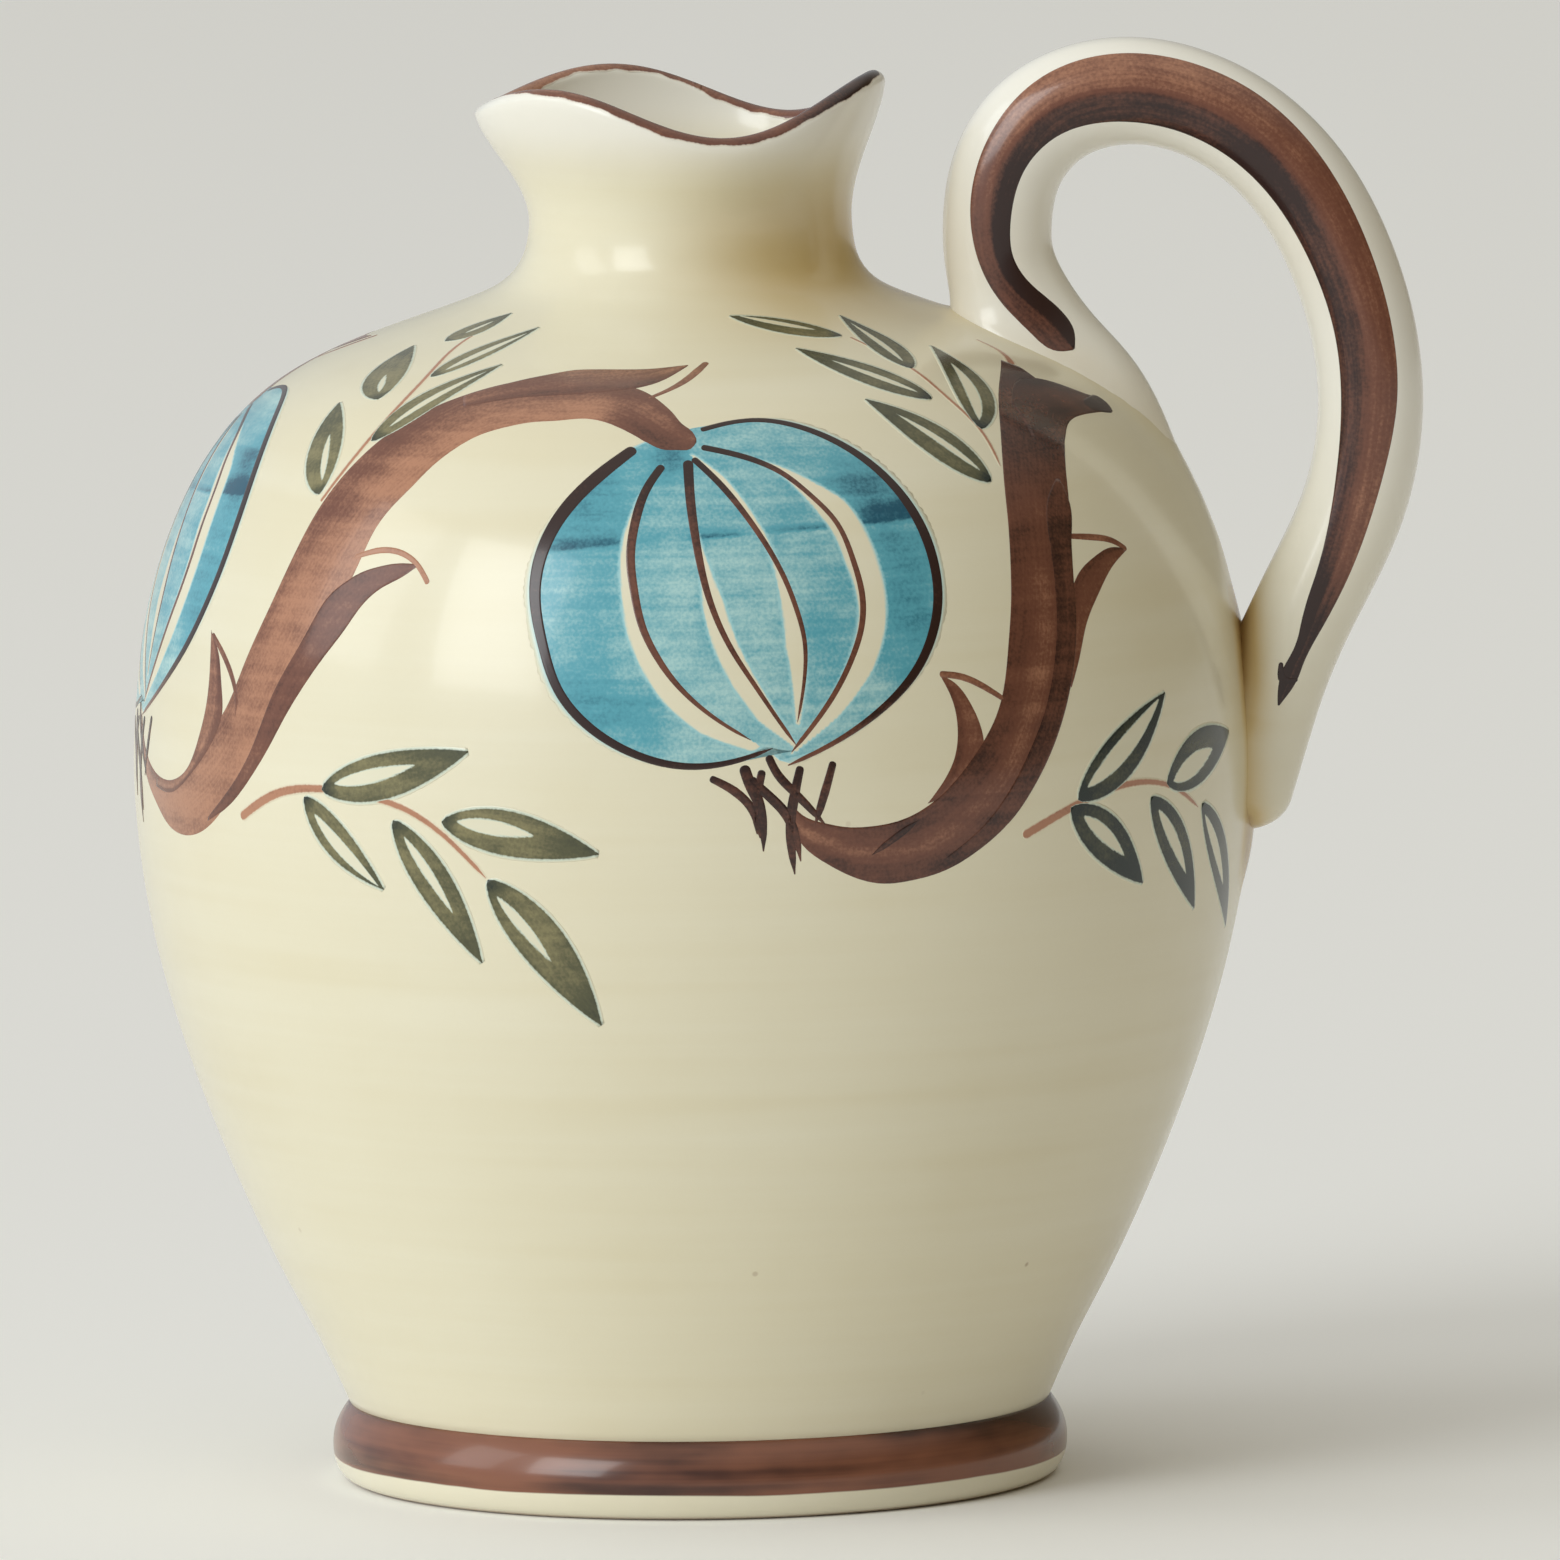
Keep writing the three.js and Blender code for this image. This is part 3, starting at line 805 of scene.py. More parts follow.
# Where the blue is denser or thinner: heading, mm up, half widths of the patch in each, and how much.
FRUIT_DENSITY = (
    (-8, 186, 5.5, 36, 0.22), (28, 186, 5, 34, 0.24), (24, 206, 4, 4, 0.28),
    (-3, 160, 6, 5, 0.25), (-8, 207, 4, 7, 0.22), (6, 178, 2.5, 6, 0.10), (1.5, 214, 2.5, 5, 0.35),
    (18, 178, 2.5, 6, 0.16), (13, 220, 6, 3, -0.1), (-9, 180, 2.5, 8, -0.14), (24, 162, 3, 8, -0.12),
)
# Where the upper band of blue ends on the lower one, as (heading, mm up), and the dense patches along its
# edge, as heading, half width of the patch, its height above the edge and how much.
FRUIT_SEAM = ((-13, 192.0), (-4, 194.0), (10, 195.7), (20, 196.7), (32, 198.3))
FRUIT_SEAM_PATCHES = (
    (-8.5, 5.0, 2.6, 0.30), (7, 3.2, 1.4, 0.42), (17, 4.4, 1.3, 0.38), (27.5, 4.2, 4.6, 0.52),
)
# The outlines: a path, half widths in mm, and how much thinner the paint is at the end.
FRUIT_OUTLINES = (
    (FRUIT_LEFT, (1.15, 1.4, 1.4, 1.3, 1.15, 1.0, 0.9, 0.85, 0.75, 0.65, 0.5, 0.35), 0.1),
    (FRUIT_RIGHT, (0.6, 0.55, 0.65, 0.75, 0.85, 0.95, 1.05, 1.0, 0.95, 0.85, 0.65, 0.45, 0.3), 0.6),
)
# The inner lines: a path, half widths in mm, tone, and how far the blue stays clear of it to the left and
# to the right, each evenly spaced from the top of the line to its end.
FRUIT_LINES = (
    (((0.7, 211.8), (-1.2, 205.9), (-2.2, 199.3), (-2.6, 191.8), (-2.1, 184.5), (-1.0, 176.4), (0.0, 172.4),
      (2.1, 166.3), (4.6, 161.3), (7.3, 157.3), (9.9, 154.2)), (0.8, 0.9, 0.85, 0.75, 0.6, 0.4, 0.25), 0.62,
     (0.3, 1.2, 2.2, 2.8, 3.4, 4.1, 4.6, 4.4, 2.5), (0.0, 0.3, 0.5, 0.5, 0.5, 0.4, 0.2, 0.0, 0.0)),
    (((3.8, 213.0), (4.0, 204.7), (4.6, 194.9), (5.4, 186.5), (6.4, 179.9), (8.3, 171.8), (10.3, 165.5),
      (12.3, 159.4), (14.5, 153.0)), (1.0, 0.9, 0.75, 0.6, 0.5, 0.4, 0.3), 0.62,
     (0.0, 0.0, 0.0, 0.6, 2.2, 3.4, 4.1, 3.7, 1.0), (0.0, 0.2, 0.8, 2.2, 3.0, 2.2, 1.4, 1.0, 0.4)),
    (((4.4, 213.5), (7.4, 207.6), (10.1, 200.8), (12.4, 193.6), (14.2, 186.2), (15.2, 180.0), (15.8, 173.9),
      (15.7, 167.8), (15.2, 161.9), (14.7, 157.5)), (0.65, 0.65, 0.55, 0.5, 0.45, 0.35, 0.2), 0.62,
     (0.0, 0.0, 0.0, 0.2, 1.8, 3.4, 4.4, 2.8, 0.8), (1.2, 2.2, 2.0, 1.5, 0.6, 0.3, 0.3, 0.8, 1.0)),
    (((5.5, 216.3), (10.0, 214.1), (15.0, 209.7), (18.4, 203.7), (20.7, 198.0), (22.0, 189.8), (22.5, 183.1),
      (22.1, 176.4), (20.9, 170.5), (18.9, 163.6), (16.3, 156.8), (14.0, 151.6)),
     (0.7, 0.65, 0.5, 0.5, 0.6, 0.55, 0.5, 0.35), 0.58,
     (0.0, 0.0, 1.2, 2.4, 2.2, 1.4, 1.0, 0.7, 0.3), (0.0, 0.3, 2.2, 5.0, 5.5, 5.2, 5.1, 3.4, 0.8)),
)
# The strokes below the fruit: a path and half widths in mm.
FRUIT_ROOTS = (
    (((5.7, 146.8), (8.0, 144.3), (10.0, 140.0), (10.7, 134.6)), (0.6, 0.8, 0.75, 0.6)),
    (((9.1, 149.2), (9.7, 145.6), (10.4, 142.6), (11.0, 131.9)), (1.0, 1.1, 0.8, 0.35)),
    (((11.0, 148.2), (10.4, 142.2), (10.4, 135.4)), (0.7, 0.8, 0.7)),
    (((11.6, 151.1), (12.6, 147.1), (13.8, 144.4), (17.3, 137.0)), (0.7, 0.8, 0.7, 0.4)),
    (((14.9, 148.8), (14.2, 143.0), (13.8, 137.8), (14.2, 127.1)), (0.7, 0.95, 0.9, 0.35)),
    (((18.3, 149.5), (17.4, 143.8), (16.3, 137.1)), (0.65, 0.8, 0.6)),
    (((9.7, 146.6), (11.5, 143.2), (13.3, 139.3), (14.8, 129.7)), (0.8, 0.9, 0.9, 0.35)),
)


def fruit_shade(spots, across, share):
    """How dense the blue is: blotches, and a seam where the upper band of blue ends over the lower
    one."""
    tone = 0.32 + 0 * across
    for degrees, up, wide, high, amount in FRUIT_DENSITY:
        off = ((spots[..., 0] - degrees) / wide) ** 2 + ((spots[..., 1] - up) / high) ** 2
        tone = tone + amount * np.exp(-off)
    above = spots[..., 1] - np.interp(spots[..., 0], *zip(*FRUIT_SEAM))
    edge = smooth(above, -0.35, 0.35)
    tone = tone + 0.07 * edge * (1 - smooth(above, 0.5, 5))
    for degrees, wide, high, amount in FRUIT_SEAM_PATCHES:
        patch = np.exp(-(((spots[..., 0] - degrees) / wide) ** 4) - (np.maximum(above, 0) / high) ** 2)
        tone = tone + amount * edge * patch
    tone = tone - 0.1 * np.exp(-(((spots[..., 0] - 6) / 13) ** 2)) * smooth(194 - spots[..., 1], -4, 4)
    return np.clip(tone, 0, 1)


def fruit_cover(spots, across, share):
    """The blue wash, which stays clear of each line with a soft edge."""
    cover = np.ones_like(across)
    sizes = np.array([math.radians(FRUIT_UNIT_RADIUS), 1.0])
    for path, _, _, clear_left, clear_right in FRUIT_LINES:
        steps = Curve(*(np.array(path) * sizes)).spread(80)
        ways = np.gradient(steps, axis=0)
        offs = (spots * sizes)[:, :, None] - steps
        distance = np.linalg.norm(offs, axis=-1)
        nearest = distance.argmin(-1)
        off = np.take_along_axis(offs, nearest[..., None, None], 2)[:, :, 0]
        way = ways[nearest]
        rightward = way[..., 0] * off[..., 1] - way[..., 1] * off[..., 0] > 0
        along = nearest / (len(steps) - 1)
        left_room, right_room = (
            np.interp(along, np.linspace(0, 1, len(clear)), clear) for clear in (clear_left, clear_right)
        )
        cover = cover * smooth(distance.min(-1) - np.where(rightward, right_room, left_room), -0.9, 0.8)
    return cover


def paint_fruit(number, shift):
    wash = Brushwork(wall_surface, shift)
    left = (FRUIT_POLE, *FRUIT_LEFT, FRUIT_FOOT)
    right = (FRUIT_POLE, *FRUIT_RIGHT[1:-1], FRUIT_FOOT)
    wash.area(left, right, rows=220, columns=110, layer=0, halo=2.7, shade=fruit_shade, cover=fruit_cover)
    wash.finish(f"fruit_wash_{number}", BLUE)
    lines = Brushwork(wall_surface, shift)
    for path, widths, thinner in FRUIT_OUTLINES:
        lines.stroke(path, widths, round_end=False, layer=2, shade=line_shade(1.0, thinner))
    for path, widths, tone, _, _ in FRUIT_LINES:
        lines.stroke(path, widths, round_end=False, layer=2, shade=line_shade(tone))
    for path, widths in FRUIT_ROOTS:
        lines.stroke(path, widths, round_end=False, layer=3, shade=line_shade(0.8))
    lines.finish(f"fruit_lines_{number}", BROWN)


# The branch that hooks under one fruit and climbs to the top of the next.
CLIMB_UPPER = (
    (-76.4, 151.1), (-73.7, 145.3), (-70.1, 141.3), (-66.7, 139.8), (-63.2, 140.0), (-59.8, 142.3),
    (-57.0, 147.9), (-52.8, 155.3), (-49.7, 165.9), (-47.1, 177.1), (-45.1, 189.2), (-43.3, 201.0),
    (-40.7, 211.5), (-36.5, 222.3), (-30.8, 230.7), (-22.3, 237.3), (-15.1, 237.9), (-8.9, 236.9),
    (-3.6, 234.4), (-1.3, 231.8), (0.5, 228.7), (2.0, 225.4), (3.2, 222.4), (4.3, 220.7), (4.9, 218.5),
)
CLIMB_LOWER = (
    (-76.6, 150.6), (-74.6, 144.5), (-72.6, 139.5), (-68.7, 134.5), (-65.2, 130.8), (-61.2, 129.4),
    (-57.2, 130.6), (-53.2, 134.7), (-49.5, 141.7), (-46.3, 148.9), (-43.9, 155.3), (-41.3, 163.0),
    (-39.0, 170.7), (-37.0, 178.4), (-35.6, 185.1), (-34.9, 189.7), (-34.1, 195.5), (-32.7, 200.7),
    (-30.9, 205.4), (-29.2, 210.3), (-27.0, 215.0), (-24.5, 218.7), (-21.2, 221.3), (-17.7, 223.0),
    (-14.0, 223.7), (-10.6, 224.4), (-7.9, 223.7), (-5.2, 221.7), (-2.5, 218.9), (-0.8, 216.9),
    (0.8, 215.7), (2.4, 215.6), (4.1, 215.8), (4.9, 217.6),
)


def climb_shade(spots, across, share):
    """Thin orange-brown, denser up its left side, along the top of its bend and where it meets the
    fruit."""
    tone = 0.14 + 0.12 * (1 - smooth(share, 0.0, 0.15)) + 0.16 * smooth(-across, 0.1, 0.8)
    bend = smooth(share, 0.42, 0.6) * smooth(-across, -0.5, 0.3)
    return tone + 0.2 * bend + 0.5 * smooth(share, 0.86, 0.92) * smooth(across, -0.4, 0.6)


def paint_climbing_branch(number, shift):
    branch = Brushwork(wall_surface, shift)
    branch.area(CLIMB_UPPER, CLIMB_LOWER, rows=190, columns=13, layer=1, shade=climb_shade)
    branch.area(
        ((-27.2, 188.8), (-29.6, 188.8), (-32.1, 187.9), (-34.2, 186.6), (-36.0, 184.7), (-38.3, 181.0),
         (-40.0, 175.3), (-41.8, 169.0), (-44.3, 161.3), (-46.2, 153.6), (-48.2, 146.6), (-51.2, 140.1),
         (-55.2, 134.0)),
        ((-27.2, 188.6), (-29.0, 186.1), (-31.3, 183.7), (-33.5, 179.8), (-35.2, 174.9), (-37.5, 169.2),
         (-39.9, 163.2), (-42.5, 156.2), (-44.7, 149.8), (-47.2, 143.8), (-50.6, 137.8), (-55.3, 133.2)),
        rows=90, columns=7, layer=2, shade=branch_shade(0.50, 0.08, 0.06))
    branch.area(
        ((-57.0, 171.5), (-56.1, 162.8), (-56.2, 156.7), (-57.2, 150.5), (-59.5, 143.4), (-63.7, 139.9),
         (-68.3, 139.6)),
        ((-57.0, 171.4), (-54.8, 167.1), (-53.6, 161.2), (-53.0, 155.3), (-54.7, 148.9), (-58.7, 142.2),
         (-63.7, 137.5), (-68.4, 137.8)),
        rows=60, columns=7, layer=2, shade=branch_shade(0.30, 0.0, 0.25))
    branch.area(
        ((-31.0, 230.4), (-22.5, 237.9), (-18.1, 240.7), (-15.8, 241.9), (-11.9, 242.5), (-7.6, 242.6),
         (-3.3, 242.8), (-0.2, 243.4), (3.0, 244.3), (3.9, 244.5)),
        ((-29.4, 226.8), (-20.2, 231.0), (-15.7, 231.9), (-10.1, 233.1), (-6.4, 234.1), (-3.6, 235.3),
         (-0.9, 237.3), (2.0, 241.2), (3.9, 244.3)),
        rows=60, columns=9, layer=2, shade=branch_shade(0.36, 0.05, 0.2))
    branch.stroke(((-1.9, 231.2), (1.2, 234.6), (3.5, 238.0), (5.3, 241.6), (7.2, 245.7)),
                  (0.35, 0.5, 0.75, 0.8, 0.55), tone=0.3, layer=1)
    branch.stroke(((-35.8, 189.6), (-32.4, 191.4), (-29.7, 191.1), (-27.4, 189.0), (-25.5, 185.0)),
                  (0.4, 0.55, 0.5, 0.45, 0.45), tone=0.06, layer=3)
    branch.stroke(((-56.6, 170.9), (-53.5, 166.6), (-51.4, 162.2), (-50.5, 158.4), (-50.5, 155.0)),
                  (0.35, 0.55, 0.6, 0.55, 0.35), tone=0.45, layer=3, round_end=False)
    branch.finish(f"branch_{number}", BROWN)


# The branch that comes out of the front fruit's roots and climbs to the root of the handle.
RISE_LEFT = (
    (64.8, 238.0), (58.9, 233.0), (52.1, 225.0), (47.6, 215.9), (43.8, 203.4), (42.3, 194.7), (41.1, 186.4),
    (40.2, 179.6), (38.8, 169.6), (37.6, 161.0), (36.4, 155.9), (34.2, 150.1), (31.8, 145.1), (28.7, 140.1),
    (25.4, 137.1), (22.2, 136.1), (19.4, 136.2), (17.3, 137.1), (15.2, 138.6), (13.6, 142.0),
)
RISE_RIGHT = (
    (66.4, 234.6), (65.6, 229.0), (63.6, 222.0), (59.1, 214.1), (55.2, 206.4), (52.9, 199.0), (50.9, 190.6),
    (49.4, 181.7), (48.4, 173.0), (47.2, 165.0), (45.6, 157.2), (43.3, 148.9), (40.5, 141.3), (37.5, 135.0),
    (34.0, 130.1), (30.2, 126.5), (26.5, 124.9), (23.3, 124.6), (20.4, 126.1), (17.6, 129.0), (15.2, 132.6),
    (13.4, 139.0),
)


def handle_branch_shade(spots, across, share):
    """Dense at the top, then a paler streak down the middle between two darker bands."""
    tone = 0.60 + 0.18 * (1 - smooth(share, 0.1, 0.4))
    middle = smooth(share, 0.25, 0.5) * np.exp(-(((across - 0.05) / 0.4) ** 2))
    return tone - 0.27 * middle + 0.1 * smooth(share, 0.6, 0.72) - 0.12 * smooth(share, 0.86, 0.97)


def paint_handle_branch():
    branch = Brushwork(wall_surface)
    branch.area(RISE_LEFT, RISE_RIGHT, rows=150, columns=15, layer=1, shade=handle_branch_shade)
    branch.area(
        ((54.0, 224.0), (59.4, 229.6), (64.3, 230.6), (69.8, 227.0), (73.4, 223.0), (76.4, 220.8)),
        ((52.6, 214.6), (56.8, 211.4), (59.8, 214.6), (62.6, 217.0), (67.0, 217.9), (76.2, 217.0)),
        rows=40, columns=9, layer=2, shade=branch_shade(0.74, 0.1, 0.0))
    branch.stroke(((70.0, 219.9), (76.9, 219.2)), (1.4, 2.3, 2.9), tone=1.0, layer=3)
    branch.stroke(((65.6, 236.0), (68.9, 240.7), (69.6, 247.0)),
                  (0.9, 0.6, 0.3), tone=0.1, layer=1, halo=0.6)
    branch.area(
        ((52.4, 204.0), (48.8, 198.0), (47.5, 190.4), (46.5, 181.0), (45.6, 173.0), (44.4, 165.0),
         (42.8, 157.0), (40.4, 149.0), (37.5, 141.0), (34.6, 135.0), (30.0, 128.6)),
        ((53.0, 204.0), (52.8, 198.0), *RISE_RIGHT[6:14], (30.6, 128.0)),
        rows=80, columns=7, layer=2, shade=branch_shade(0.70, 0.04, 0.0))
    branch.area(
        ((59.6, 187.4), (57.2, 188.0), (53.9, 186.6), (50.8, 183.9), (48.7, 179.8), (47.4, 174.5),
         (46.7, 167.8), (46.3, 161.8)),
        ((59.6, 187.0), (56.2, 184.1), (52.8, 179.1), (50.0, 173.4), (48.4, 167.6), (46.6, 161.0)),
        rows=50, columns=7, layer=0, shade=branch_shade(0.45, 0.2, 0.0))
    branch.area(
        ((30.5, 165.2), (31.6, 160.4), (32.0, 154.4), (31.5, 149.1), (30.2, 144.6), (28.3, 140.2)),
        ((30.6, 165.4), (32.0, 163.7), (33.4, 160.2), (34.4, 156.1), (34.9, 151.4), (34.4, 146.8),
         (31.7, 142.0)),
        rows=50, columns=7, layer=0, shade=branch_shade(0.4, 0.15, 0.0))
    branch.stroke(((50.4, 191.6), (54.9, 190.6), (58.2, 189.1), (59.9, 187.2)),
                  (0.45, 0.6, 0.6, 0.5), tone=0.35)
    branch.stroke(((30.3, 165.8), (32.8, 165.0), (35.1, 163.0), (37.6, 160.0)),
                  (0.55, 0.6, 0.55, 0.4), tone=0.3)
    branch.stroke(((22.2, 130.4), (24.3, 133.2), (27.2, 136.9)), (0.5, 0.7, 0.6), tone=0.85, layer=3,
                  round_start=False, round_end=False)
    branch.finish("branch_to_handle", BROWN)


# Sprigs: a stem with its half widths, then leaves as base, tip, half breadth, slit (start, end, half
# width and how far it lies aside), and bow, and last the leaves' tone.
SPRIG_LOW = (
    ((-49.0, 135.0), (-42.7, 141.0), (-37.2, 142.5), (-30.3, 141.5), (-25.7, 139.0), (-21.3, 133.5),
     (-17.5, 126.3)),
    (0.95, 0.95, 0.8, 0.7, 0.65, 0.55, 0.4),
    (
        ((-36.8, 142.4), (-19.3, 151.6), 4.6, (0.10, 0.66, 1.5, -0.6), 0.6),
        ((-39.2, 140.6), (-29.3, 123.0), 3.6, (0.16, 0.95, 1.4, 0.3), 0.6),
        ((-27.8, 137.2), (-18.5, 108.8), 4.1, (0.12, 0.66, 1.1, 0.0), -0.8),
        ((-22.2, 137.4), (-5.6, 131.6), 4.6, (0.10, 0.60, 1.6, -0.6), -0.6),
        ((-17.3, 126.0), (-6.0, 96.2), 5.0, (0.10, 0.56, 1.2, 0.9), -1.0),
    ),
    0.45,
)
SPRIG_HIGH = (
    ((-43.8, 200.7), (-41.0, 217.1), (-41.8, 237.0), (-46.5, 254.0), (-47.0, 263.0)),
    (0.4, 0.5, 0.5, 0.45, 0.35),
    (
        ((-44.6, 202.2), (-53.2, 225.0), 4.4, (0.12, 0.60, 0.9, 0.6), 0.6),
        ((-45.8, 227.2), (-57.7, 248.0), 4.8, (0.12, 0.42, 0.8, 0.0), -0.4),
        ((-40.6, 215.6), (-29.8, 243.4), 3.6, (0.14, 0.88, 0.9, 0.2), -0.8),
        ((-40.8, 236.5), (-32.4, 261.2), 3.2, (0.12, 0.88, 1.0, 0.4), -0.6),
        ((-51.2, 251.4), (-47.3, 266.5), 3.6, (0.30, 0.72, 0.6, 0.0), 0.0),
    ),
    0.36,
)
SPRIG_ROOT = (
    ((39.0, 254.6), (42.8, 239.5), (43.5, 226.9), (44.6, 218.1), (44.5, 208.1)),
    (0.3, 0.4, 0.4, 0.4, 0.3),
    (
        ((37.6, 255.6), (14.6, 267.4), 3.6, (0.22, 0.92, 0.9, 0.9), 0.4),
        ((42.8, 238.9), (44.6, 265.0), 3.8, (0.12, 0.86, 0.8, -0.2), 0.4),
        ((40.6, 227.4), (25.0, 251.0), 4.2, (0.10, 0.72, 0.9, 0.3), 0.2),
        ((44.9, 217.6), (54.4, 247.4), 4.4, (0.08, 0.74, 1.5, -0.3), 0.8),
        ((42.1, 204.8), (30.0, 228.8), 4.4, (0.10, 0.76, 0.9, 0.5), 0.4),
    ),
    0.55,
)
SPRIG_TAIL = (
    ((39.4, 132.2), (46.5, 137.5), (56.2, 140.3), (63.1, 137.4), (67.5, 133.0)),
    (0.95, 0.85, 0.7, 0.55, 0.4),
    (
        ((46.6, 138.4), (61.6, 157.4), 5.0, (0.10, 0.93, 2.2, -0.6), 0.4),
        ((60.8, 139.2), (76.8, 146.6), 5.4, (0.08, 0.66, 2.3, 0.6), -0.8),
        ((45.6, 137.0), (57.2, 119.6), 4.8, (0.14, 0.68, 1.6, -0.3), -0.6),
        ((57.9, 137.0), (68.7, 112.0), 4.7, (0.12, 0.70, 1.6, 0.0), -0.6),
        ((68.4, 133.6), (81.2, 105.6), 4.5, (0.08, 0.66, 1.5, 0.6), -0.6),
    ),
    0.95,
)


def paint_sprig(name, sprig, shift=(0, 0)):
    stem_path, stem_widths, leaves, tone = sprig
    stem = Brushwork(wall_surface, shift)
    stem.stroke(stem_path, stem_widths, tone=0.02, layer=1, halo=0.3, round_end=False)
    stem.finish(f"{name}_stem", BROWN)
    leaf_work = Brushwork(wall_surface, shift)
    for base, tip, breadth, gap, bow in leaves:
        leaf_work.leaf(base, tip, breadth, gap, bow, tone)
    leaf_work.finish(f"{name}_leaves", GREEN)


# The stripe down each side of the handle, as (turn round the coil, mm along it).
STRIPE_OUTER = (
    (113, 43.8), (100, 46), (90, 52), (80, 60), (72, 68), (64, 76), (60, 86), (56, 94), (48, 103), (43, 112),
    (41, 124), (41, 140), (47, 156), (52, 176), (54, 190), (58, 204), (65, 216), (66, 228), (62, 240),
    (63, 251), (66, 259), (66, 263), (70, 266), (76, 269),
)
STRIPE_INNER = (
    (115, 43.8), (127, 46.5), (129, 53), (117, 60), (108, 68), (107, 80), (109, 92), (114, 104), (120, 116),
    (121, 140), (121, 164), (119, 188), (121, 204), (117, 220), (108, 230), (97, 240), (88, 250), (82, 257),
    (85, 262), (82, 266), (77, 269),
)


def stripe_shade(spots, across, share):
    """Dense at both ends and along the inner edge, and thinner along the outer edge."""
    inner = 0.54 - 0.2 * smooth(share, 0.44, 0.6) + 0.2 * smooth(share, 0.86, 0.96)
    outer = 0.30 + 0.16 * smooth(share, 0.38, 0.5) - 0.06 * smooth(share, 0.7, 0.8)
    tone = outer + inner * smooth(across, -0.15, 0.34)
    return tone + 0.36 * (1 - smooth(share, 0.06, 0.26)) + 0.5 * smooth(share, 0.84, 0.93)


def paint_stripe(name, side):
    """One side's stripe; side 1 faces -Y and side -1 is its mirror image on the far side."""
    stripe = Brushwork(handle_surface)
    outer = [(side * turn, along) for turn, along in STRIPE_OUTER]
    inner = [(side * turn, along) for turn, along in STRIPE_INNER]
    edges = (outer, inner)[::side]

    def shade(spots, across, share):
        return stripe_shade(spots, side * across, share)

    stripe.area(*edges, rows=230, columns=15, layer=1, shade=shade)
    barb = ((side * 90, 260.4), (side * 80, 263.6), (side * 65, 262.6))
    stripe.stroke(barb, (0.3, 0.9, 0.3), tone=1.0, layer=2)
    stripe.finish(name, HANDLE_BROWN)


# The rim line's inner and outer edge at headings round the lip, in mm across the rim from its top.
RIM_LINE = (
    (0, -1.6, 2.8), (45, -1.8, 2.7), (70, -2.6, 2.7), (83, -3.6, 2.0), (90, -3.8, 0.6), (97, -3.6, -0.8),
    (112, -3.4, 0.2), (140, -3.0, 1.3), (180, -2.2, 1.5), (225, -2.2, 1.3), (255, -3.2, 1.0),
    (272, -3.8, 0.3), (290, -3.2, 0.9), (318, -2.2, 2.2), (360, -1.6, 2.9),
)


def paint_rim():
    """The brown line round the rim, dense on the high side by the handle and thin on the spout. It starts
    and ends at the back, where its ends overlap."""
    heading = np.linspace(180, 543, 300)
    marks, inner_marks, outer_marks = zip(*RIM_LINE)
    away = np.radians(heading - 90) - LIP_TURN
    spout = ((1 - np.cos(away)) / 2) ** 3
    peak = smooth(np.cos(away), 0.6, 1.0)
    ragged = 0.14 * np.sin(11 * away) + 0.09 * np.sin(29 * away + 2) + 0.06 * np.sin(53 * away + 1)
    inner = np.interp(heading % 360, marks, inner_marks) + 1.8 * ragged
    outer = np.interp(heading % 360, marks, outer_marks) + ragged
    tones = 0.46 - 0.38 * spout + 0.42 * peak

    def shade(spots, across, share):
        return np.interp(share, np.linspace(0, 1, len(tones)), tones) + 0.14 * smooth(across, -0.2, 1)

    line = Brushwork(rim_surface)
    line.fill(np.stack([heading, inner], -1), np.stack([heading, outer], -1), halo=0.3, shade=shade)
    line.finish("rim_line", BROWN)


# The decoration comes round three times, and the second time it lies a little higher.
REPEATS = 3
REPEAT_TURN = -89.5
REPEAT_RISE = 2.0
for number in range(REPEATS):
    shift = (REPEAT_TURN * number, REPEAT_RISE * (number % 2))
    paint_fruit(number, shift)
    paint_climbing_branch(number, shift)
    paint_sprig(f"low_sprig_{number}", SPRIG_LOW, shift)
    paint_sprig(f"high_sprig_{number}", SPRIG_HIGH, shift)
paint_handle_branch()
paint_sprig("root_sprig", SPRIG_ROOT)
paint_sprig("tail_sprig", SPRIG_TAIL)
paint_stripe("handle_stripe_near", 1)
paint_stripe("handle_stripe_far", -1)
paint_rim()


# -------------------- floor, light and camera

def flat_material(name, color, roughness):
    material = bpy.data.materials.new(name)
    material.use_nodes = True
    shader = material.node_tree.nodes["Principled BSDF"]
    shader.inputs["Base Color"].default_value = color
    shader.inputs["Roughness"].default_value = roughness
    return material


FLOOR_RADIUS = 30.0
PALE_GREY = (0.94, 0.935, 0.91, 1)
floor_mesh = bpy.data.meshes.new("floor")
floor_turns = np.radians(range(0, 360, 5))
floor_ring = [(FLOOR_RADIUS * math.cos(turn), FLOOR_RADIUS * math.sin(turn), 0.0) for turn in floor_turns]
floor_mesh.from_pydata(floor_ring, [], [list(range(len(floor_ring)))])
floor = bpy.data.objects.new("floor", floor_mesh)
bpy.context.scene.collection.objects.link(floor)
floor_mesh.materials.append(flat_material("pale_floor", PALE_GREY, 0.9))

# A tall window on the left, behind the camera, in two panes with a pier of wall between them.
WINDOW_DISTANCE = 12.0
WINDOW_HEIGHT = 6.8
WINDOW_RAISED = math.radians(26)
DAYLIGHT = (0.95, 0.985, 1.0)
# Each pane's name, its heading in degrees to the left of the front, its width in metres and its power in
# watts.
PANES = (("window_front", 40.0, 5.2, 610.0), ("window_side", 76.0, 4.2, 190.0))

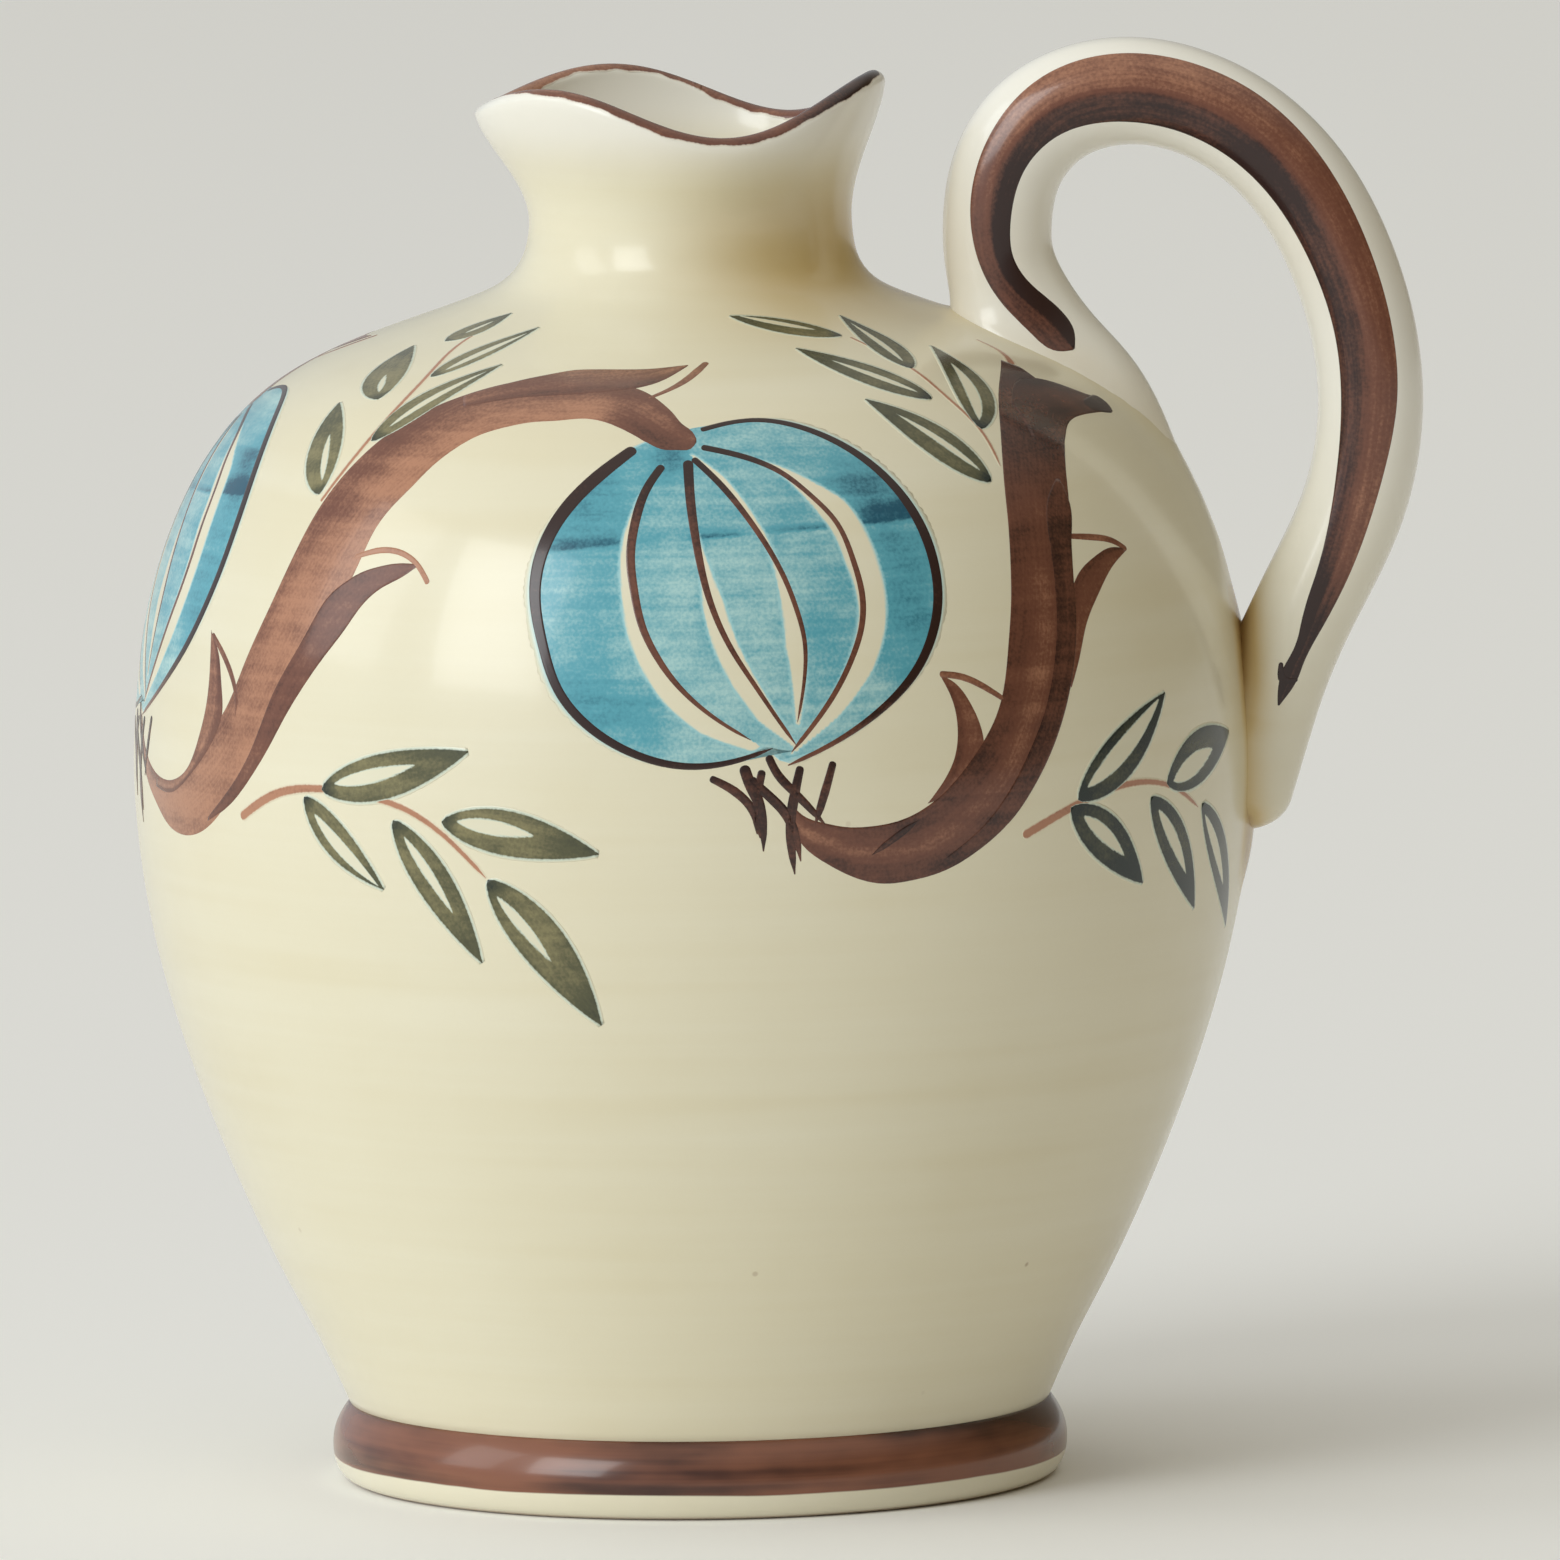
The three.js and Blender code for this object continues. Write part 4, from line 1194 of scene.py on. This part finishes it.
for name, left_of_front, width, power in PANES:
    turned = math.radians(left_of_front)
    level = math.cos(WINDOW_RAISED)
    towards = Vector((-math.sin(turned) * level, -math.cos(turned) * level, math.sin(WINDOW_RAISED)))
    pane_data = bpy.data.lights.new(name, "AREA")
    pane_data.shape = "RECTANGLE"
    pane_data.size = width
    pane_data.size_y = WINDOW_HEIGHT
    pane_data.energy = power
    pane_data.color = DAYLIGHT
    pane = bpy.data.objects.new(name, pane_data)
    pane.location = towards * WINDOW_DISTANCE
    pane.rotation_euler = towards.to_track_quat("Z", "Y").to_euler()
    bpy.context.scene.collection.objects.link(pane)

# The room is cooler and brighter on the window's side, warmer on the other, and brightest at its white
# ceiling.
ROOM_COOL = (0.58, 0.62, 0.66, 1)
ROOM_WARM = (0.12, 0.085, 0.03, 1)
CEILING = (0.76, 0.74, 0.68, 1)
world = bpy.data.worlds.new("studio")
bpy.context.scene.world = world
world.use_nodes = True
room = Nodes(world.node_tree)
facing = room.add("ShaderNodeSeparateXYZ", {0: room.add("ShaderNodeTexCoord").outputs["Generated"]})
room_color = room.mix(room.stretch(facing.outputs["X"], -0.8, 0.8), ROOM_COOL, ROOM_WARM)
room_color = room.mix(room.stretch(facing.outputs["Z"], 0.45, 0.95), room_color, CEILING)
backdrop = world.node_tree.nodes["Background"].inputs
world.node_tree.links.new(room_color, backdrop["Color"])
backdrop["Strength"].default_value = 1.0

# A long lens a little above the pot, about five metres in front of it.
CAMERA_AT = Vector((0.3488 + AXIS_X, -4.9878, 0.685))
CAMERA_AIM = Vector((0, 0, 0.1423))
CAMERA_ROLL = math.radians(-0.6)
CAMERA_LENS = 569.5
camera_data = bpy.data.cameras.new("camera")
camera_data.lens = CAMERA_LENS
camera_data.sensor_width = 36
camera_data.clip_end = 100
camera = bpy.data.objects.new("camera", camera_data)
bpy.context.scene.collection.objects.link(camera)
forward = (CAMERA_AIM - CAMERA_AT).normalized()
right = forward.cross(Vector((0, 0, 1))).normalized()
upward = right.cross(forward)
rolled_right = right * math.cos(CAMERA_ROLL) + upward * math.sin(CAMERA_ROLL)
rolled_up = upward * math.cos(CAMERA_ROLL) - right * math.sin(CAMERA_ROLL)
camera.matrix_world = Matrix((
    (rolled_right.x, rolled_up.x, -forward.x, CAMERA_AT.x),
    (rolled_right.y, rolled_up.y, -forward.y, CAMERA_AT.y),
    (rolled_right.z, rolled_up.z, -forward.z, CAMERA_AT.z),
    (0, 0, 0, 1),
))
bpy.context.scene.camera = camera
bpy.context.scene.view_settings.view_transform = "Standard"
